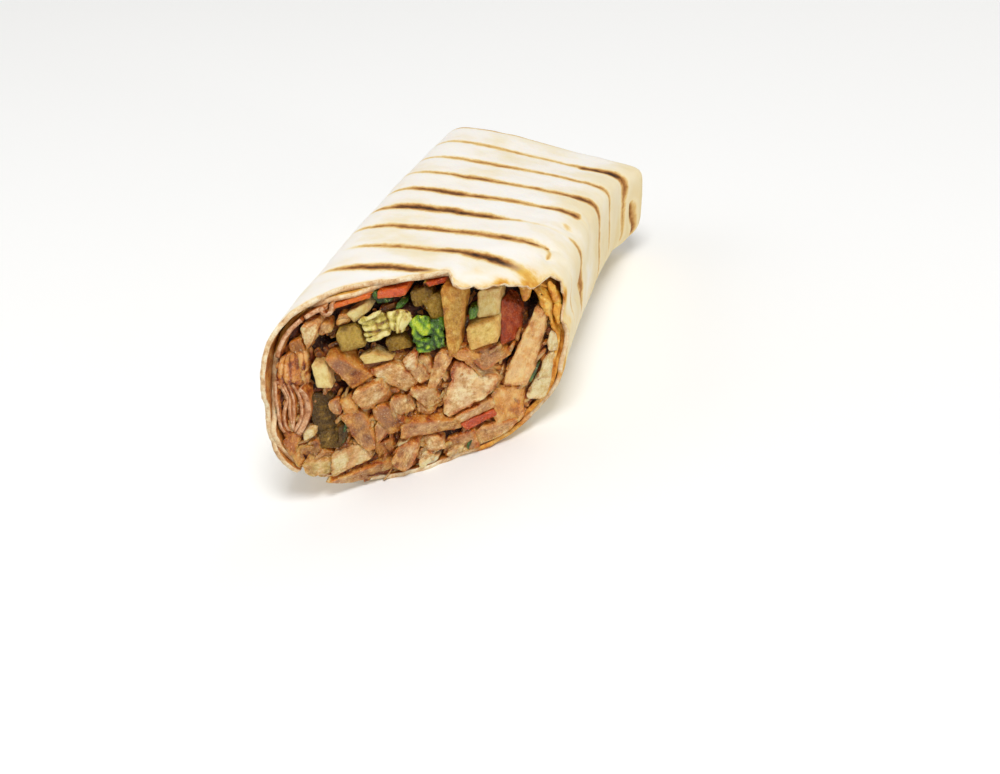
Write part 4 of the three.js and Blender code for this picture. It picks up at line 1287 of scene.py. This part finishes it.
core_bm = bmesh.new()
bmesh.ops.create_uvsphere(core_bm, u_segments=CORE_STEPS, v_segments=CORE_RINGS + CORE_FRONT_RINGS, radius=1)
around = np.arange(CORE_STEPS + 1) / CORE_STEPS
body_rows = mix(*CORE_ROWS, (1 - np.cos(np.linspace(0, math.pi, CORE_RINGS))) / 2)
body = np.array([roll_points(around, row, innermost(around, row), 0.3)[0] for row in body_rows])
middle_front, middle_back = body[0].mean(0), body[-1].mean(0)
total_rings = CORE_RINGS + CORE_FRONT_RINGS
core_points, core_tints = [], []
for vert in core_bm.verts:
    ring = round(math.acos(max(-1, min(1, -vert.co.z))) / math.pi * total_rings)
    step = round((math.atan2(vert.co.y, vert.co.x) / (2 * math.pi)) % 1.0 * CORE_STEPS) % CORE_STEPS
    tint = 0.5
    if ring < CORE_FRONT_RINGS:
        point = middle_front + (body[0, step] - middle_front) * (ring / CORE_FRONT_RINGS)
        deep, share = hollow_depth(point[0], point[2])
        lumps = noise.noise(Vector(point) / 1.9) + 0.6 * noise.noise(Vector(point) / 0.9)
        behind = mix(*FRONT_BEHIND, float(smooth(ring / CORE_FRONT_RINGS, 0.85, 1.0)))
        point[1] = cut_y(point[0], point[2]) + behind - FRONT_ROUGH * lumps + deep
        gloom = float(smooth(point[2], GLOOM_FROM, GLOOM_TO)) * (1 - share)
        point[1] += GLOOM_DEEP * gloom
        # painted shade: darker in the hollows and in the shaded upper part, lighter on lumps that stand
        # forward
        tint = 0.45 + 0.6 * share + 0.25 * gloom - 0.6 * lumps
    elif ring - CORE_FRONT_RINGS < CORE_RINGS:
        point = body[ring - CORE_FRONT_RINGS, step]
    else:
        point = middle_back
    vert.co = point
    core_points.append(point)
    core_tints.append(min(1.0, max(0.0, tint)))
store(core_bm, "rim", np.full(len(core_tints), 0.0))
store(core_bm, "tint", core_tints)
store(core_bm, "grain", np.array(core_points))
bmesh.ops.recalc_face_normals(core_bm, faces=core_bm.faces[:])
# wet and brown, and painted nearly black in the hollows as painted shade, which gives the pieces in front
# their depth
soaked_filling = chopped_food(
    "chopped filling in sauce with painted shade",
    [(0.0, "#c07830"), (0.25, "#8c4210"), (0.5, "#441804"), (0.75, "#1a0802"), (1.0, "#060201")],
    wetness=0.35, stretch=1.0, size=1.0, film=0.0, coat=0.1, glow=0.0, blushing=0.2,
    blush="#7c3818", gleam="#e8b888", specks=0.4, grainy=0.2)
core = to_object("filling_core", core_bm, [soaked_filling])
belongs(core, "meat", "filling")

# %% [markdown]
# ## The chicken
# Chopped chicken fills the lower half: pale blocks cut across the grain, pulled shreds
# and browned ends. The larger ones are placed one by one, each by its tint, from pale
# breast to brown skin, by how far it stands out of the cut, and by the corners of its
# face as x and z in millimetres. The pieces that lie back are given darker tints, which
# is painted shade.

# %% The chicken that can be told apart
CHICKEN = (
    # tint, out, then the corners; pieces that lie back are given darker tints as painted shade
    # upper left
    (0.16, 0.9, (-23.7, 42.0), (-20.3, 42.0), (-21.3, 38.2), (-22.6, 36.4)),
    (0.35, 0.3, (-20.3, 41.2), (-18.8, 40.6), (-18.6, 38.6), (-20.6, 38.2)),
    (0.52, -0.4, (-17.3, 41.6), (-16.0, 41.4), (-15.6, 39.3), (-18.0, 39.1)),
    (0.60, -1.0, (-25.5, 38.6), (-23.8, 38.9), (-23.0, 35.6), (-25.2, 34.8)),
    # the long strips that fall to the right
    (0.58, 0.9, (-19.1, 33.4), (-17.3, 33.4), (-11.6, 27.0), (-14.8, 25.5)),
    (0.30, 0.7, (-12.2, 27.6), (-7.0, 28.0), (-3.9, 21.8), (-6.0, 20.7)),
    (0.85, -0.6, (-13.6, 30.0), (-5.5, 28.3), (-6.5, 27.0), (-12.5, 28.0)),
    (0.18, 1.2, (-6.6, 27.7), (-4.0, 29.5), (-3.7, 25.9), (-5.7, 25.5)),
    (0.42, 0.0, (-3.7, 27.7), (-1.6, 26.8), (-1.2, 23.6), (-3.9, 23.6)),
    (0.28, 0.6, (-5.3, 25.9), (-3.0, 26.2), (-1.2, 22.2), (-3.2, 21.8)),
    (0.45, 1.4, (-0.3, 27.7), (2.7, 25.9), (0.0, 20.2), (-1.6, 20.9)),
    # the big pale pieces right of the middle
    (0.16, 1.8, (2.9, 22.8), (10.9, 17.2), (8.8, 14.4), (1.2, 11.6)),
    (0.35, 0.8, (5.6, 22.6), (9.5, 20.2), (11.0, 17.3), (8.0, 19.0)),
    (0.62, -0.3, (5.2, 24.8), (10.4, 24.1), (12.9, 21.8), (8.6, 20.4)),
    # the left of the middle
    (0.28, 1.4, (-14.8, 24.3), (-10.0, 25.3), (-9.0, 21.5), (-12.7, 19.4)),
    (0.45, 0.6, (-19.3, 23.0), (-17.4, 23.5), (-17.0, 20.2), (-18.0, 20.6)),
    (0.50, 1.4, (-16.8, 18.7), (-13.4, 19.5), (-10.6, 10.2), (-13.0, 10.2)),
    (0.52, 0.4, (-11.2, 15.0), (-9.3, 15.8), (-8.9, 12.5), (-10.7, 10.4)),
    (0.60, 0.5, (-12.0, 18.5), (-8.6, 19.3), (-5.0, 13.0), (-9.0, 12.0)),
    # the shreds in the middle
    (0.36, 0.6, (-8.4, 20.3), (-5.7, 19.4), (-4.0, 15.6), (-7.4, 16.0)),
    (0.26, 0.9, (-5.3, 21.3), (-1.2, 19.6), (0.8, 15.2), (-2.0, 14.8)),
    (0.38, 0.3, (-4.0, 17.3), (-0.4, 14.6), (-1.4, 13.0), (-3.6, 14.8)),
    (0.40, 1.6, (-5.7, 14.5), (3.5, 10.2), (3.8, 7.9), (-5.7, 10.3)),
    (0.24, 0.7, (3.4, 11.4), (9.8, 12.5), (10.3, 10.2), (4.6, 9.6)),
    # along the bottom
    (0.32, 1.6, (-6.5, 8.6), (-3.0, 8.2), (-4.8, 2.0), (-8.0, 5.2)),
    (0.26, 0.8, (-2.8, 8.2), (0.6, 7.3), (1.6, 4.5), (-1.7, 4.6)),
    (0.22, 0.6, (-3.5, 5.0), (-0.3, 3.6), (-1.0, 0.9), (-4.4, 1.4)),
    (0.36, 0.4, (2.0, 5.5), (6.5, 6.0), (7.9, 1.6), (1.5, 1.0)),
    (0.30, 0.3, (7.0, 6.0), (15.2, 6.0), (12.5, 2.3), (8.0, 1.6)),
    (0.46, -0.2, (-20.0, 5.0), (-9.5, 5.5), (-6.0, 1.8), (-15.0, 2.6)),
    (0.55, -0.4, (-11.5, 9.5), (-8.5, 10.0), (-8.0, 5.5), (-10.6, 5.6)),
    # under the pleats at the left
    (0.60, 0.0, (-24.2, 14.6), (-22.3, 14.5), (-18.0, 10.5), (-22.5, 10.6)),
)
SAUCY = (
    # where the sauce covers the meat: left of the middle, over the slice, and at the lower right
    (0.30, 1.0, (-17.0, 23.1), (-14.8, 23.7), (-13.7, 19.0), (-16.7, 18.7)),
    (0.35, 0.3, (9.5, 14.2), (15.6, 12.7), (15.4, 5.0), (11.2, 5.3)),
    (0.45, 0.2, (11.5, 5.3), (15.3, 4.9), (13.2, 0.9), (8.8, 1.3)),
    (0.60, 0.3, (-26.7, 18.0), (-24.2, 18.8), (-24.6, 13.7), (-26.4, 14.5)),
    (0.50, 0.2, (-26.2, 15.1), (-23.9, 14.6), (-23.6, 10.3), (-25.4, 10.6)),
    (0.40, 0.6, (2.1, 26.7), (5.7, 25.8), (11.3, 18.4), (5.7, 22.0)),
    (0.30, -0.6, (-17.7, 41.5), (-16.4, 41.2), (-15.9, 39.5), (-17.9, 39.4)),
    (0.55, 0.4, (-12.2, 21.2), (-9.0, 21.8), (-8.4, 19.8), (-11.8, 19.2)),
)
STRIP = ((17.5, 31.4), (20.2, 29.8), (17.1, 12.6), (11.0, 14.6))
# the row of the big pale piece, whose upper edge is torn into flakes
FLAKY = 11
PRESSED = 1.12


def grown(corners):
    """The corners moved away from their middle, so that neighbours press together."""
    corners = np.array(corners, float)
    return corners.mean(0) + (corners - corners.mean(0)) * PRESSED


# the tints include painted shade for pieces that lie back
chicken_meshes = [chunk(grown(corners), out + 0.6 * math.sin(5 * i), tint=0.85 * tint, seed=100 + i,
                        fray=1.6 if i == FLAKY else 0.3, ragged=0.6 if i == FLAKY else 0.22)
                  for i, (tint, out, *corners) in enumerate(CHICKEN)]
belongs(gather("chicken_pieces", chicken_meshes, [roast_chicken]), "meat", "filling")
saucy_meshes = [chunk(grown(corners), out, tint=tint, seed=180 + i, soft=0.6, ragged=0.6)
                for i, (tint, out, *corners) in enumerate(SAUCY)]
belongs(gather("saucy_chicken_pieces", saucy_meshes, [saucy_chicken]), "meat", "filling")
strip_mesh = chunk(STRIP, 1.0, 11, 0.14, seed=132, soft=1.0, lean=0.3, chop=0.4, relief=0.12)
belongs(gather("chicken_strip_cut", [strip_mesh], [saucy_chicken]), "meat", "chicken_strip")

# %% [markdown]
# ## Shreds between the pieces
# Between the larger pieces everything is filled with small shreds and crumbs of the same
# chicken. Their places are drawn at random from a fixed seed. One is kept if it lies
# inside the bread and not in a hollow.

# %% Shreds and crumbs
SHREDS = 640
SHRED_SEED = 7
# millimetres: where shreds may lie in x and in z, and how long and wide they are
SHREDS_ACROSS, SHREDS_UP = (-28, 23), (1.5, 44)
SHRED_LENGTHS, SHRED_WIDTHS = (1.4, 3.8), (0.6, 1.3)
# right of and above this place is a gap under the bread
EMPTY_CORNER = (10.5, 30.0)
# among the vegetables, above this height, most shreds are left out
FEW_ABOVE = 28
LEFT_OUT = 0.7
# how far shreds stand out of the cut, lower down and above this height
SUNK_ABOVE = 27
OUT_LOW, OUT_HIGH = (-2.0, 0.3), (-3.0, -1.6)
# their tint at the cut, and how much darker each millimetre of depth paints them, which is painted shade
SHRED_TINTS = (0.05, 0.3)
DARKER = 0.32
HOLLOW_SHARE = 0.35

rng = np.random.default_rng(SHRED_SEED)
shred_meshes = []
while len(shred_meshes) < SHREDS:
    x, z = rng.uniform(*SHREDS_ACROSS), rng.uniform(*SHREDS_UP)
    place = np.array([[x, z]])
    outside = abs(within_bread(place, 0.6) - place).sum() > 0.001
    in_corner = x > EMPTY_CORNER[0] and z > EMPTY_CORNER[1]
    in_hollow = hollow_depth(x, z)[1] > HOLLOW_SHARE
    if outside or in_corner or in_hollow or (z > FEW_ABOVE and rng.random() < LEFT_OUT):
        continue
    long, wide, turned = rng.uniform(*SHRED_LENGTHS), rng.uniform(*SHRED_WIDTHS), rng.uniform(0, math.pi)
    forth = np.array([math.cos(turned) / IN_PLANE, math.sin(turned)]) * long / 2
    side = np.array([-math.sin(turned) / IN_PLANE, math.cos(turned)]) * wide / 2
    middle = np.array([x, z])
    corners = [middle - forth + side, middle + forth + side, middle + forth - side, middle - forth - side]
    out = rng.uniform(*OUT_LOW) if z < SUNK_ABOVE else rng.uniform(*OUT_HIGH)
    # shreds that lie deeper get painted shade
    tint = rng.uniform(*SHRED_TINTS) - DARKER * min(0.0, out)
    shred_meshes.append(chunk(corners, out, 3.0, tint, seed=1000 + len(shred_meshes), soft=0.35,
                              relief=0.14, step=0.55, cuts_back=3))
belongs(gather("chicken_shreds", shred_meshes, [pulled_chicken]), "meat", "filling")

# %% [markdown]
# ## The pieces that have a solid of their own
# The sticks, cubes and slices stand where their solids are. Each one is chopped with the
# same tool and gets its own finish.

# %% Sticks, cubes and slices
# three ways to chop: soft rounds the edges, chop takes corners off, relief makes the
# surface uneven and ragged the edge, and lean tilts the face
CRISP = {"soft": 0.25, "chop": 0.25, "relief": 0.06, "ragged": 0.12, "lean": 0.3}
FIRM = {"soft": 0.5, "chop": 0.5, "relief": 0.06, "ragged": 0.2, "lean": 0.3}
LIMP = {"soft": 0.9, "chop": 0.6, "relief": 0.14, "ragged": 0.3, "lean": 0.6}
PIECES = {
    # solid: finish, slot, cut, then for each face its tint, out, deep and corners
    "potato_cube": (fried_potato, "fry", CRISP,
                    (0.05, -0.4, 9, (-16.3, 41.7), (-12.7, 42.8), (-12.1, 41.0), (-14.9, 39.0))),
    "fry_thin": (fried_potato, "fry", CRISP,
                 (0.2, 0.8, 8, (-13.9, 31.6), (-11.5, 31.9), (-7.6, 29.0), (-12.8, 29.6))),
    "fry_left": (fried_potato, "fry", CRISP,
                 (0.05, 1.0, 18, (-21.7, 33.6), (-19.0, 32.1), (-18.2, 26.3), (-20.9, 27.6))),
    "fry_tapered": (fried_potato, "fry", CRISP,
                    (0.6, 1.4, 18, (0.2, 42.6), (4.9, 40.6), (3.9, 26.6), (2.0, 25.6))),
    "fry_block": (fried_potato, "fry", CRISP,
                  (0.12, -0.4, 20, (6.6, 38.4), (10.8, 38.0), (10.8, 31.3), (6.5, 32.2)),
                  (0.3, 1.4, 20, (4.9, 31.0), (11.0, 31.9), (11.0, 26.2), (5.7, 25.8))),
    "tomato_wedge": (tomato_flesh, "tomato", FIRM,
                     (0.5, -0.8, 14, (10.7, 35.0), (14.8, 32.0), (14.8, 25.0), (11.0, 23.6))),
    "carrot_left": (carrot_flesh, "carrot", CRISP,
                    (0.3, 0.7, 11, (-18.3, 46.6), (-11.8, 46.0), (-11.9, 43.9), (-17.9, 43.9))),
    "carrot_middle": (carrot_flesh, "carrot", CRISP,
                      (0.5, 0.6, 10, (-10.9, 45.2), (-5.8, 44.5), (-5.8, 42.4), (-10.7, 43.3))),
    "carrot_right": (carrot_flesh, "carrot", CRISP,
                     (0.75, 0.4, 10, (-3.0, 45.0), (0.9, 44.4), (0.9, 42.5), (-2.0, 42.9))),
    "carrot_low": (carrot_flesh, "carrot", CRISP,
                   (0.6, 0.9, 9, (4.0, 9.1), (10.3, 10.0), (11.0, 8.4), (5.2, 6.8))),
    "pickle_cube_left": (pickle_flesh, "pickle", FIRM,
                         (0.15, 0.6, 8, (-18.0, 39.0), (-13.9, 39.1), (-12.6, 33.6), (-16.9, 33.5))),
    "pickle_cube_right": (pickle_flesh, "pickle", FIRM,
                          (0.45, -0.4, 8, (-9.8, 33.5), (-6.4, 33.3), (-4.8, 29.7), (-9.1, 30.1))),
    "pickle_top_left": (pickle_flesh, "pickle", FIRM,
                        (0.45, -1.2, 12, (-5.8, 42.2), (-1.8, 42.0), (-1.4, 38.5), (-4.7, 38.2))),
    "pickle_top_right": (pickle_flesh, "pickle", FIRM,
                         (0.3, -0.6, 12, (-3.6, 39.8), (0.3, 40.4), (0.5, 33.6), (-1.3, 33.8))),
    "pickle_slice": (pickle_flesh, "pickle", FIRM,
                     (0.72, -0.6, 7, (-22.6, 26.2), (-19.0, 25.2), (-15.8, 15.3), (-21.6, 15.4)),
                     (0.6, -0.2, 6, (-21.2, 17.0), (-15.9, 16.3), (-17.0, 11.6), (-20.4, 12.9))),
    "onion_small": (onion_flesh, "onion", LIMP,
                    (0.2, 0.8, 6, (-23.4, 18.9), (-21.2, 18.9), (-21.1, 16.8), (-23.4, 16.1))),
    "onion_curved": (onion_flesh, "onion", LIMP,
                     (0.4, 0.8, 11, (-23.8, 12.4), (-17.6, 9.8), (-17.2, 6.0), (-22.6, 7.6)),
                     (0.2, 1.2, 11, (-18.6, 11.2), (-13.6, 11.6), (-11.5, 7.2), (-18.6, 6.2))),
    "onion_right": (onion_flesh, "onion", LIMP,
                    (0.02, 0.6, 12, (20.2, 24.7), (22.7, 24.4), (22.9, 19.0), (20.2, 19.5)),
                    (0.2, 0.5, 12, (19.9, 19.5), (22.9, 18.8), (22.0, 12.4), (17.9, 13.4))),
}
for i, (node, (finish, slot, look, *faces)) in enumerate(PIECES.items()):
    meshes = [chunk(corners, out, deep, tint, seed=300 + 7 * i + k, **look)
              for k, (tint, out, deep, *corners) in enumerate(faces)]
    belongs(gather(node + "_cut", meshes, [finish]), slot, node)

# %% [markdown]
# ## Small bits
# Some bits are too small for a solid of their own: skin of tomato, snips of herb, ends of
# pickle and slivers of onion between the chicken. They are what makes the filling look
# mixed by hand. All bits of one kind are one object.

# %% Bits without a solid of their own
BITS = {
    # piece: finish, slot, then for each bit its tint, out and corners
    "tomato_bits": (tomato_flesh, "tomato",
                    (0.9, -0.2, (-11.0, 44.4), (-9.3, 43.8), (-9.3, 43.0), (-10.9, 43.3)),
                    (0.7, 0.0, (-10.6, 17.4), (-9.4, 18.2), (-9.0, 16.4), (-10.2, 15.8))),
    "herb_bits": (fresh_leaf, "lettuce",
                  (0.75, -0.6, (-7.8, 40.9), (-6.3, 40.4), (-6.6, 39.3), (-7.5, 39.4)),
                  (0.5, 0.9, (5.2, 35.4), (6.7, 35.4), (6.8, 33.4), (5.6, 32.8)),
                  (0.8, 0.9, (5.4, 3.4), (6.6, 4.4), (7.0, 2.6), (5.8, 2.0)),
                  (0.9, 0.6, (18.4, 17.4), (19.0, 17.2), (17.5, 13.8), (16.9, 14.2)),
                  (1.0, 0.2, (-28.9, 27.9), (-27.9, 27.4), (-27.9, 24.4), (-28.8, 24.8)),
                  (0.8, 0.4, (-16.2, 17.6), (-15.6, 17.2), (-16.6, 12.8), (-17.2, 13.2))),
    "pickle_bits": (pickle_flesh, "pickle",
                    (0.7, 0.0, (20.1, 27.3), (22.4, 26.8), (22.4, 24.5), (20.4, 24.4)),
                    (0.8, 0.5, (-17.4, 17.0), (-15.6, 17.0), (-15.9, 15.0), (-17.1, 12.6))),
    "onion_bits": (onion_flesh, "onion",
                   (0.12, 0.5, (18.0, 14.6), (22.0, 13.4), (20.7, 8.4), (16.2, 9.8)),
                   (0.1, 0.9, (-3.2, 3.6), (0.4, 3.0), (0.2, 1.2), (-3.4, 1.4)),
                   (0.15, 1.0, (-7.2, 9.2), (-5.0, 9.4), (-5.6, 7.6), (-7.0, 7.4)),
                   (0.2, 1.2, (2.0, 3.4), (5.0, 3.6), (4.8, 1.6), (2.2, 1.4))),
}
for i, (name, (finish, slot, *bits)) in enumerate(BITS.items()):
    meshes = [chunk(corners, out, 5, tint, seed=500 + 9 * i + k, soft=0.3, ragged=0.4, step=0.35)
              for k, (tint, out, *corners) in enumerate(bits)]
    belongs(gather(name, meshes, [finish]), slot, "filling")

# %% [markdown]
# ## Leaves
# Lettuce and cabbage were folded when they were rolled in, so their crinkled faces show.
# Chopped blocks would look like more chicken here. A leaf is a thin flap that buckles,
# with ribs that run over it at an even distance. Its raised ribs and crinkles are painted
# lighter and its creases darker: painted light and shade.

# %% Lettuce and cabbage
ALONG, ACROSS = math.radians(75), math.radians(-12)
LEAVES = {
    # solid: finish, slot, then for each flap its tint, out, bulge, the distance and the
    # turn of its ribs, and its corners
    "lettuce_light": (fresh_leaf, "lettuce",
                      (0.25, 0.9, 0.4, 1.9, 0.5, (-5.0, 37.4), (-2.4, 36.7), (-1.1, 32.0), (-4.8, 31.2)),
                      (0.55, 0.5, 0.2, 1.7, 1.0, (-4.9, 31.8), (-1.8, 31.5), (-0.5, 27.9), (-3.4, 28.3))),
    "lettuce_dark": (fresh_leaf, "lettuce",
                     (0.75, 0.2, 0.3, 1.8, 0.8, (-2.2, 35.4), (1.0, 34.5), (1.1, 29.6), (-1.4, 31.0)),
                     (0.95, 0.2, 0.2, 1.6, 0.3, (-1.7, 32.0), (1.0, 30.6), (1.2, 27.7), (-1.3, 28.0))),
    "lettuce_top": (fresh_leaf, "lettuce",
                    (1.0, -0.4, 0.2, 0.0, 0, (-12.1, 45.0), (-10.4, 44.4), (-8.3, 41.1), (-11.2, 41.8))),
    "cabbage_left": (pale_leaf, "cabbage",
                     (0.5, 0.7, 0.2, 1.6, ALONG, (-14.0, 39.3), (-10.0, 40.5), (-8.0, 34.8), (-12.7, 34.6)),
                     (0.15, 1.3, 0.1, 0.0, 0, (-14.3, 39.7), (-10.1, 41.3), (-9.7, 40.4), (-13.6, 38.9)),
                     (0.15, 1.3, 0.1, 0.0, 0, (-12.8, 35.5), (-9.2, 35.9), (-7.8, 35.0), (-12.3, 34.4))),
    "cabbage_right": (pale_leaf, "cabbage",
                      (0.5, 0.7, 0.3, 1.7, ACROSS, (-9.5, 40.3), (-4.6, 38.6), (-6.0, 34.2), (-8.0, 34.9)),
                      (0.2, 1.1, 0.2, 0.0, 0, (-6.6, 39.6), (-4.4, 37.3), (-6.3, 34.6), (-6.9, 35.4))),
}
for i, (node, (finish, slot, *flaps)) in enumerate(LEAVES.items()):
    meshes = [flap(corners, out, tint, 60 + 5 * i + k, bulge=bulge, stripe=stripe, stripe_turn=turn,
                   crinkle=0.5 if finish == fresh_leaf else 0.3, frill=0.35)
              for k, (tint, out, bulge, stripe, turn, *corners) in enumerate(flaps)]
    belongs(gather(node + "_leaf", meshes, [finish], wall=0.4), slot, node)

# %% [markdown]
# ## The pleated bundle
# At the left the inner turn of the bread was pushed into pleats, and the knife cut right
# through them: thin tan lines side by side, with dark slits between them that close at
# the top and at the bottom. Each pleat is a ribbon, and each bows a little more than the
# one beside it.

# %% Pleats of bread
PLEAT_DEEP = 9.0
PLEATS = (
    # from the left wall to the filling, each from its top down
    ((-28.3, 31.6), (-27.9, 29.2), (-27.5, 26.4), (-27.3, 23.6), (-27.0, 21.2), (-26.3, 19.6)),
    ((-27.4, 31.4), (-26.4, 29.0), (-25.8, 27.0), (-26.2, 25.2), (-26.5, 23.0), (-26.1, 20.6), (-25.6, 19.6)),
    ((-26.5, 30.4), (-25.5, 27.2), (-25.5, 24.6), (-25.3, 22.0), (-25.2, 19.8)),
    ((-25.7, 30.0), (-25.0, 27.0), (-24.7, 24.6), (-24.8, 22.4), (-25.0, 19.8)),
    ((-25.0, 29.8), (-23.9, 27.4), (-23.5, 24.6), (-23.5, 22.3), (-24.1, 20.3), (-24.8, 19.2)),
)
# the last pleat is a thicker band, next to the filling
BAND = ((-23.9, 28.4), (-22.9, 26.8), (-22.5, 25.0), (-22.4, 23.0), (-22.8, 21.2), (-23.5, 19.6),
        (-24.1, 18.4))

pleats = [ribbon(path, PLEAT_DEEP, out=0.4, seed=20 + i, wave=0.25) for i, path in enumerate(PLEATS)]
belongs(gather("pleated_bread", pleats, [sauced_bread, inner_crumb], wall=0.7), "bread", "flatbread")
band = [ribbon(BAND, PLEAT_DEEP, out=0.7, seed=34, wave=0.2)]
belongs(gather("band_of_bread", band, [sauced_bread, inner_crumb], wall=1.4), "bread", "flatbread")

# %% [markdown]
# ## The curled edge
# At the top left the torn edge of the inner turn stands loose. It curls down beside the
# first carrot and back up, as a wet edge of bread does. It is a ribbon too, but a shorter
# one, because it is only an edge.

# %% Curls at the top left
CURL_DEEP = 4.0
CURLS = (
    # out, wave, then the path: the wavy edge of the inner turn at the top left
    (0.9, 0.2, (-21.6, 46.9), (-20.7, 46.4), (-20.3, 45.4), (-20.1, 44.3), (-19.5, 43.3), (-18.9, 43.0),
     (-18.3, 43.5), (-18.2, 44.6), (-18.6, 45.9)),
    (0.6, 0.2, (-25.6, 41.2), (-25.3, 43.6), (-24.7, 44.8), (-24.1, 44.3), (-24.0, 43.4), (-24.5, 42.4)),
    (0.5, 0.3, (-27.6, 36.8), (-26.8, 38.6), (-26.0, 40.8), (-25.6, 42.4)),
    (0.6, 0.2, (-24.4, 45.6), (-23.2, 46.4), (-21.8, 46.9), (-20.6, 46.7)),
)

curls = [ribbon(path, CURL_DEEP, out=out, seed=40 + i, wave=wave)
         for i, (out, wave, *path) in enumerate(CURLS)]
belongs(gather("curled_bread", curls, [sauced_bread, inner_crumb], wall=0.9), "bread", "flatbread")

# %% [markdown]
# ## The crumpled corner
# At the right the bread was squeezed into the corner of the cut, and its layers crumpled.
# Their edges are ribbons again. Where a layer folds forward, a flap shows its face, and
# two more flaps are stuffed between the turns of the bread, outside the room inside.

# %% The corner at the right
CORNER_DEEP = 6.0
CORNER = (
    # out, wave, then the path: layers of bread crumpled into the corner at the right
    (0.9, 0.9, (17.2, 36.9), (18.8, 36.2), (20.0, 34.4), (20.9, 32.0), (21.7, 29.6), (22.4, 28.2)),
    (0.3, 0.6, (18.0, 34.8), (19.2, 32.4), (20.4, 29.8), (21.6, 28.2), (22.6, 28.0)),
    (0.4, 0.5, (22.2, 28.4), (22.8, 26.4), (23.4, 23.4), (24.0, 20.8), (23.6, 18.0), (22.6, 15.2)),
    (0.6, 0.5, (22.5, 26.0), (23.2, 22.6), (23.5, 19.6), (22.8, 16.6), (21.8, 12.8), (20.8, 9.4)),
)
FOLDS = (
    # out, bulge, then corners: the fold and the torn tip at the right
    (0.9, 0.9, (17.2, 36.8), (19.8, 35.2), (22.4, 28.6), (19.9, 28.3)),
    (2.2, 0.3, (14.3, 38.1), (16.7, 37.6), (16.5, 34.8), (15.7, 34.0)),
)
STUFFED = (
    # out, bulge, then corners: crumpled bread between the two layers of the corner
    (-0.5, 0.8, (19.4, 36.2), (20.9, 35.0), (22.2, 29.6), (20.6, 30.2)),
    (-0.2, 0.5, (20.8, 30.6), (22.2, 30.2), (22.3, 25.4), (21.6, 25.4)),
)

corner = [ribbon(path, CORNER_DEEP, out=out, seed=46 + i, wave=wave)
          for i, (out, wave, *path) in enumerate(CORNER)]
corner += [flap(corners, out, seed=50 + i, crinkle=0.4, frill=0.4, bulge=bulge)
           for i, (out, bulge, *corners) in enumerate(FOLDS)]
corner += [flap(corners, out, seed=55 + i, crinkle=0.3, frill=0.2, bulge=bulge, in_room=False)
           for i, (out, bulge, *corners) in enumerate(STUFFED)]
belongs(gather("crumpled_bread", corner, [golden_bread, bread_crumb], wall=0.7), "bread", "flatbread")

# %% [markdown]
# ## Draped and folded bread
# Above the pleats the soaked bread hangs in soft folds that show their whole face, with
# fine wrinkles down it. Below them, and in the dark behind, the bread lies in thick
# rounded folds. Those show no edge, so the chopping tool makes them, with its edges as
# round as they go.

# %% Folds at the left
DRAPED = (
    # out, bulge, stripe, then corners: the soaked folds above the pleats
    (-0.2, 1.5, 1.4, (-27.0, 36.6), (-24.6, 36.4), (-23.0, 28.2), (-28.2, 30.4)),
    (-1.2, 0.8, 1.1, (-25.0, 37.2), (-23.0, 36.2), (-22.3, 28.4), (-24.4, 27.6)),
)
SWELLS = (
    # out, then corners: the soaked fold below the pleats, and what lies in the dark behind, whose dark red
    # colour is partly painted shade
    (-0.2, (-27.0, 19.8), (-24.0, 18.8), (-24.2, 13.6), (-26.5, 14.6)),
    (-2.6, (-28.4, 39.0), (-22.4, 38.0), (-21.6, 28.4), (-28.4, 29.2)),
    (-2.8, (-26.4, 45.4), (-20.0, 46.2), (-19.4, 41.0), (-26.6, 38.6)),
)

draped = [flap(corners, out, seed=60 + i, crinkle=0.25, frill=0.5, bulge=bulge, stripe=stripe)
          for i, (out, bulge, stripe, *corners) in enumerate(DRAPED)]
belongs(gather("draped_bread", draped, [bread_folds], wall=0.7), "bread", "flatbread")
swells = [chunk(corners, out, 9, seed=70 + i, soft=2.0, chop=0.9, lean=0.4, relief=0.35, ragged=0.5)
          for i, (out, *corners) in enumerate(SWELLS)]
belongs(gather("folded_bread", swells, [sauced_bread]), "bread", "flatbread")
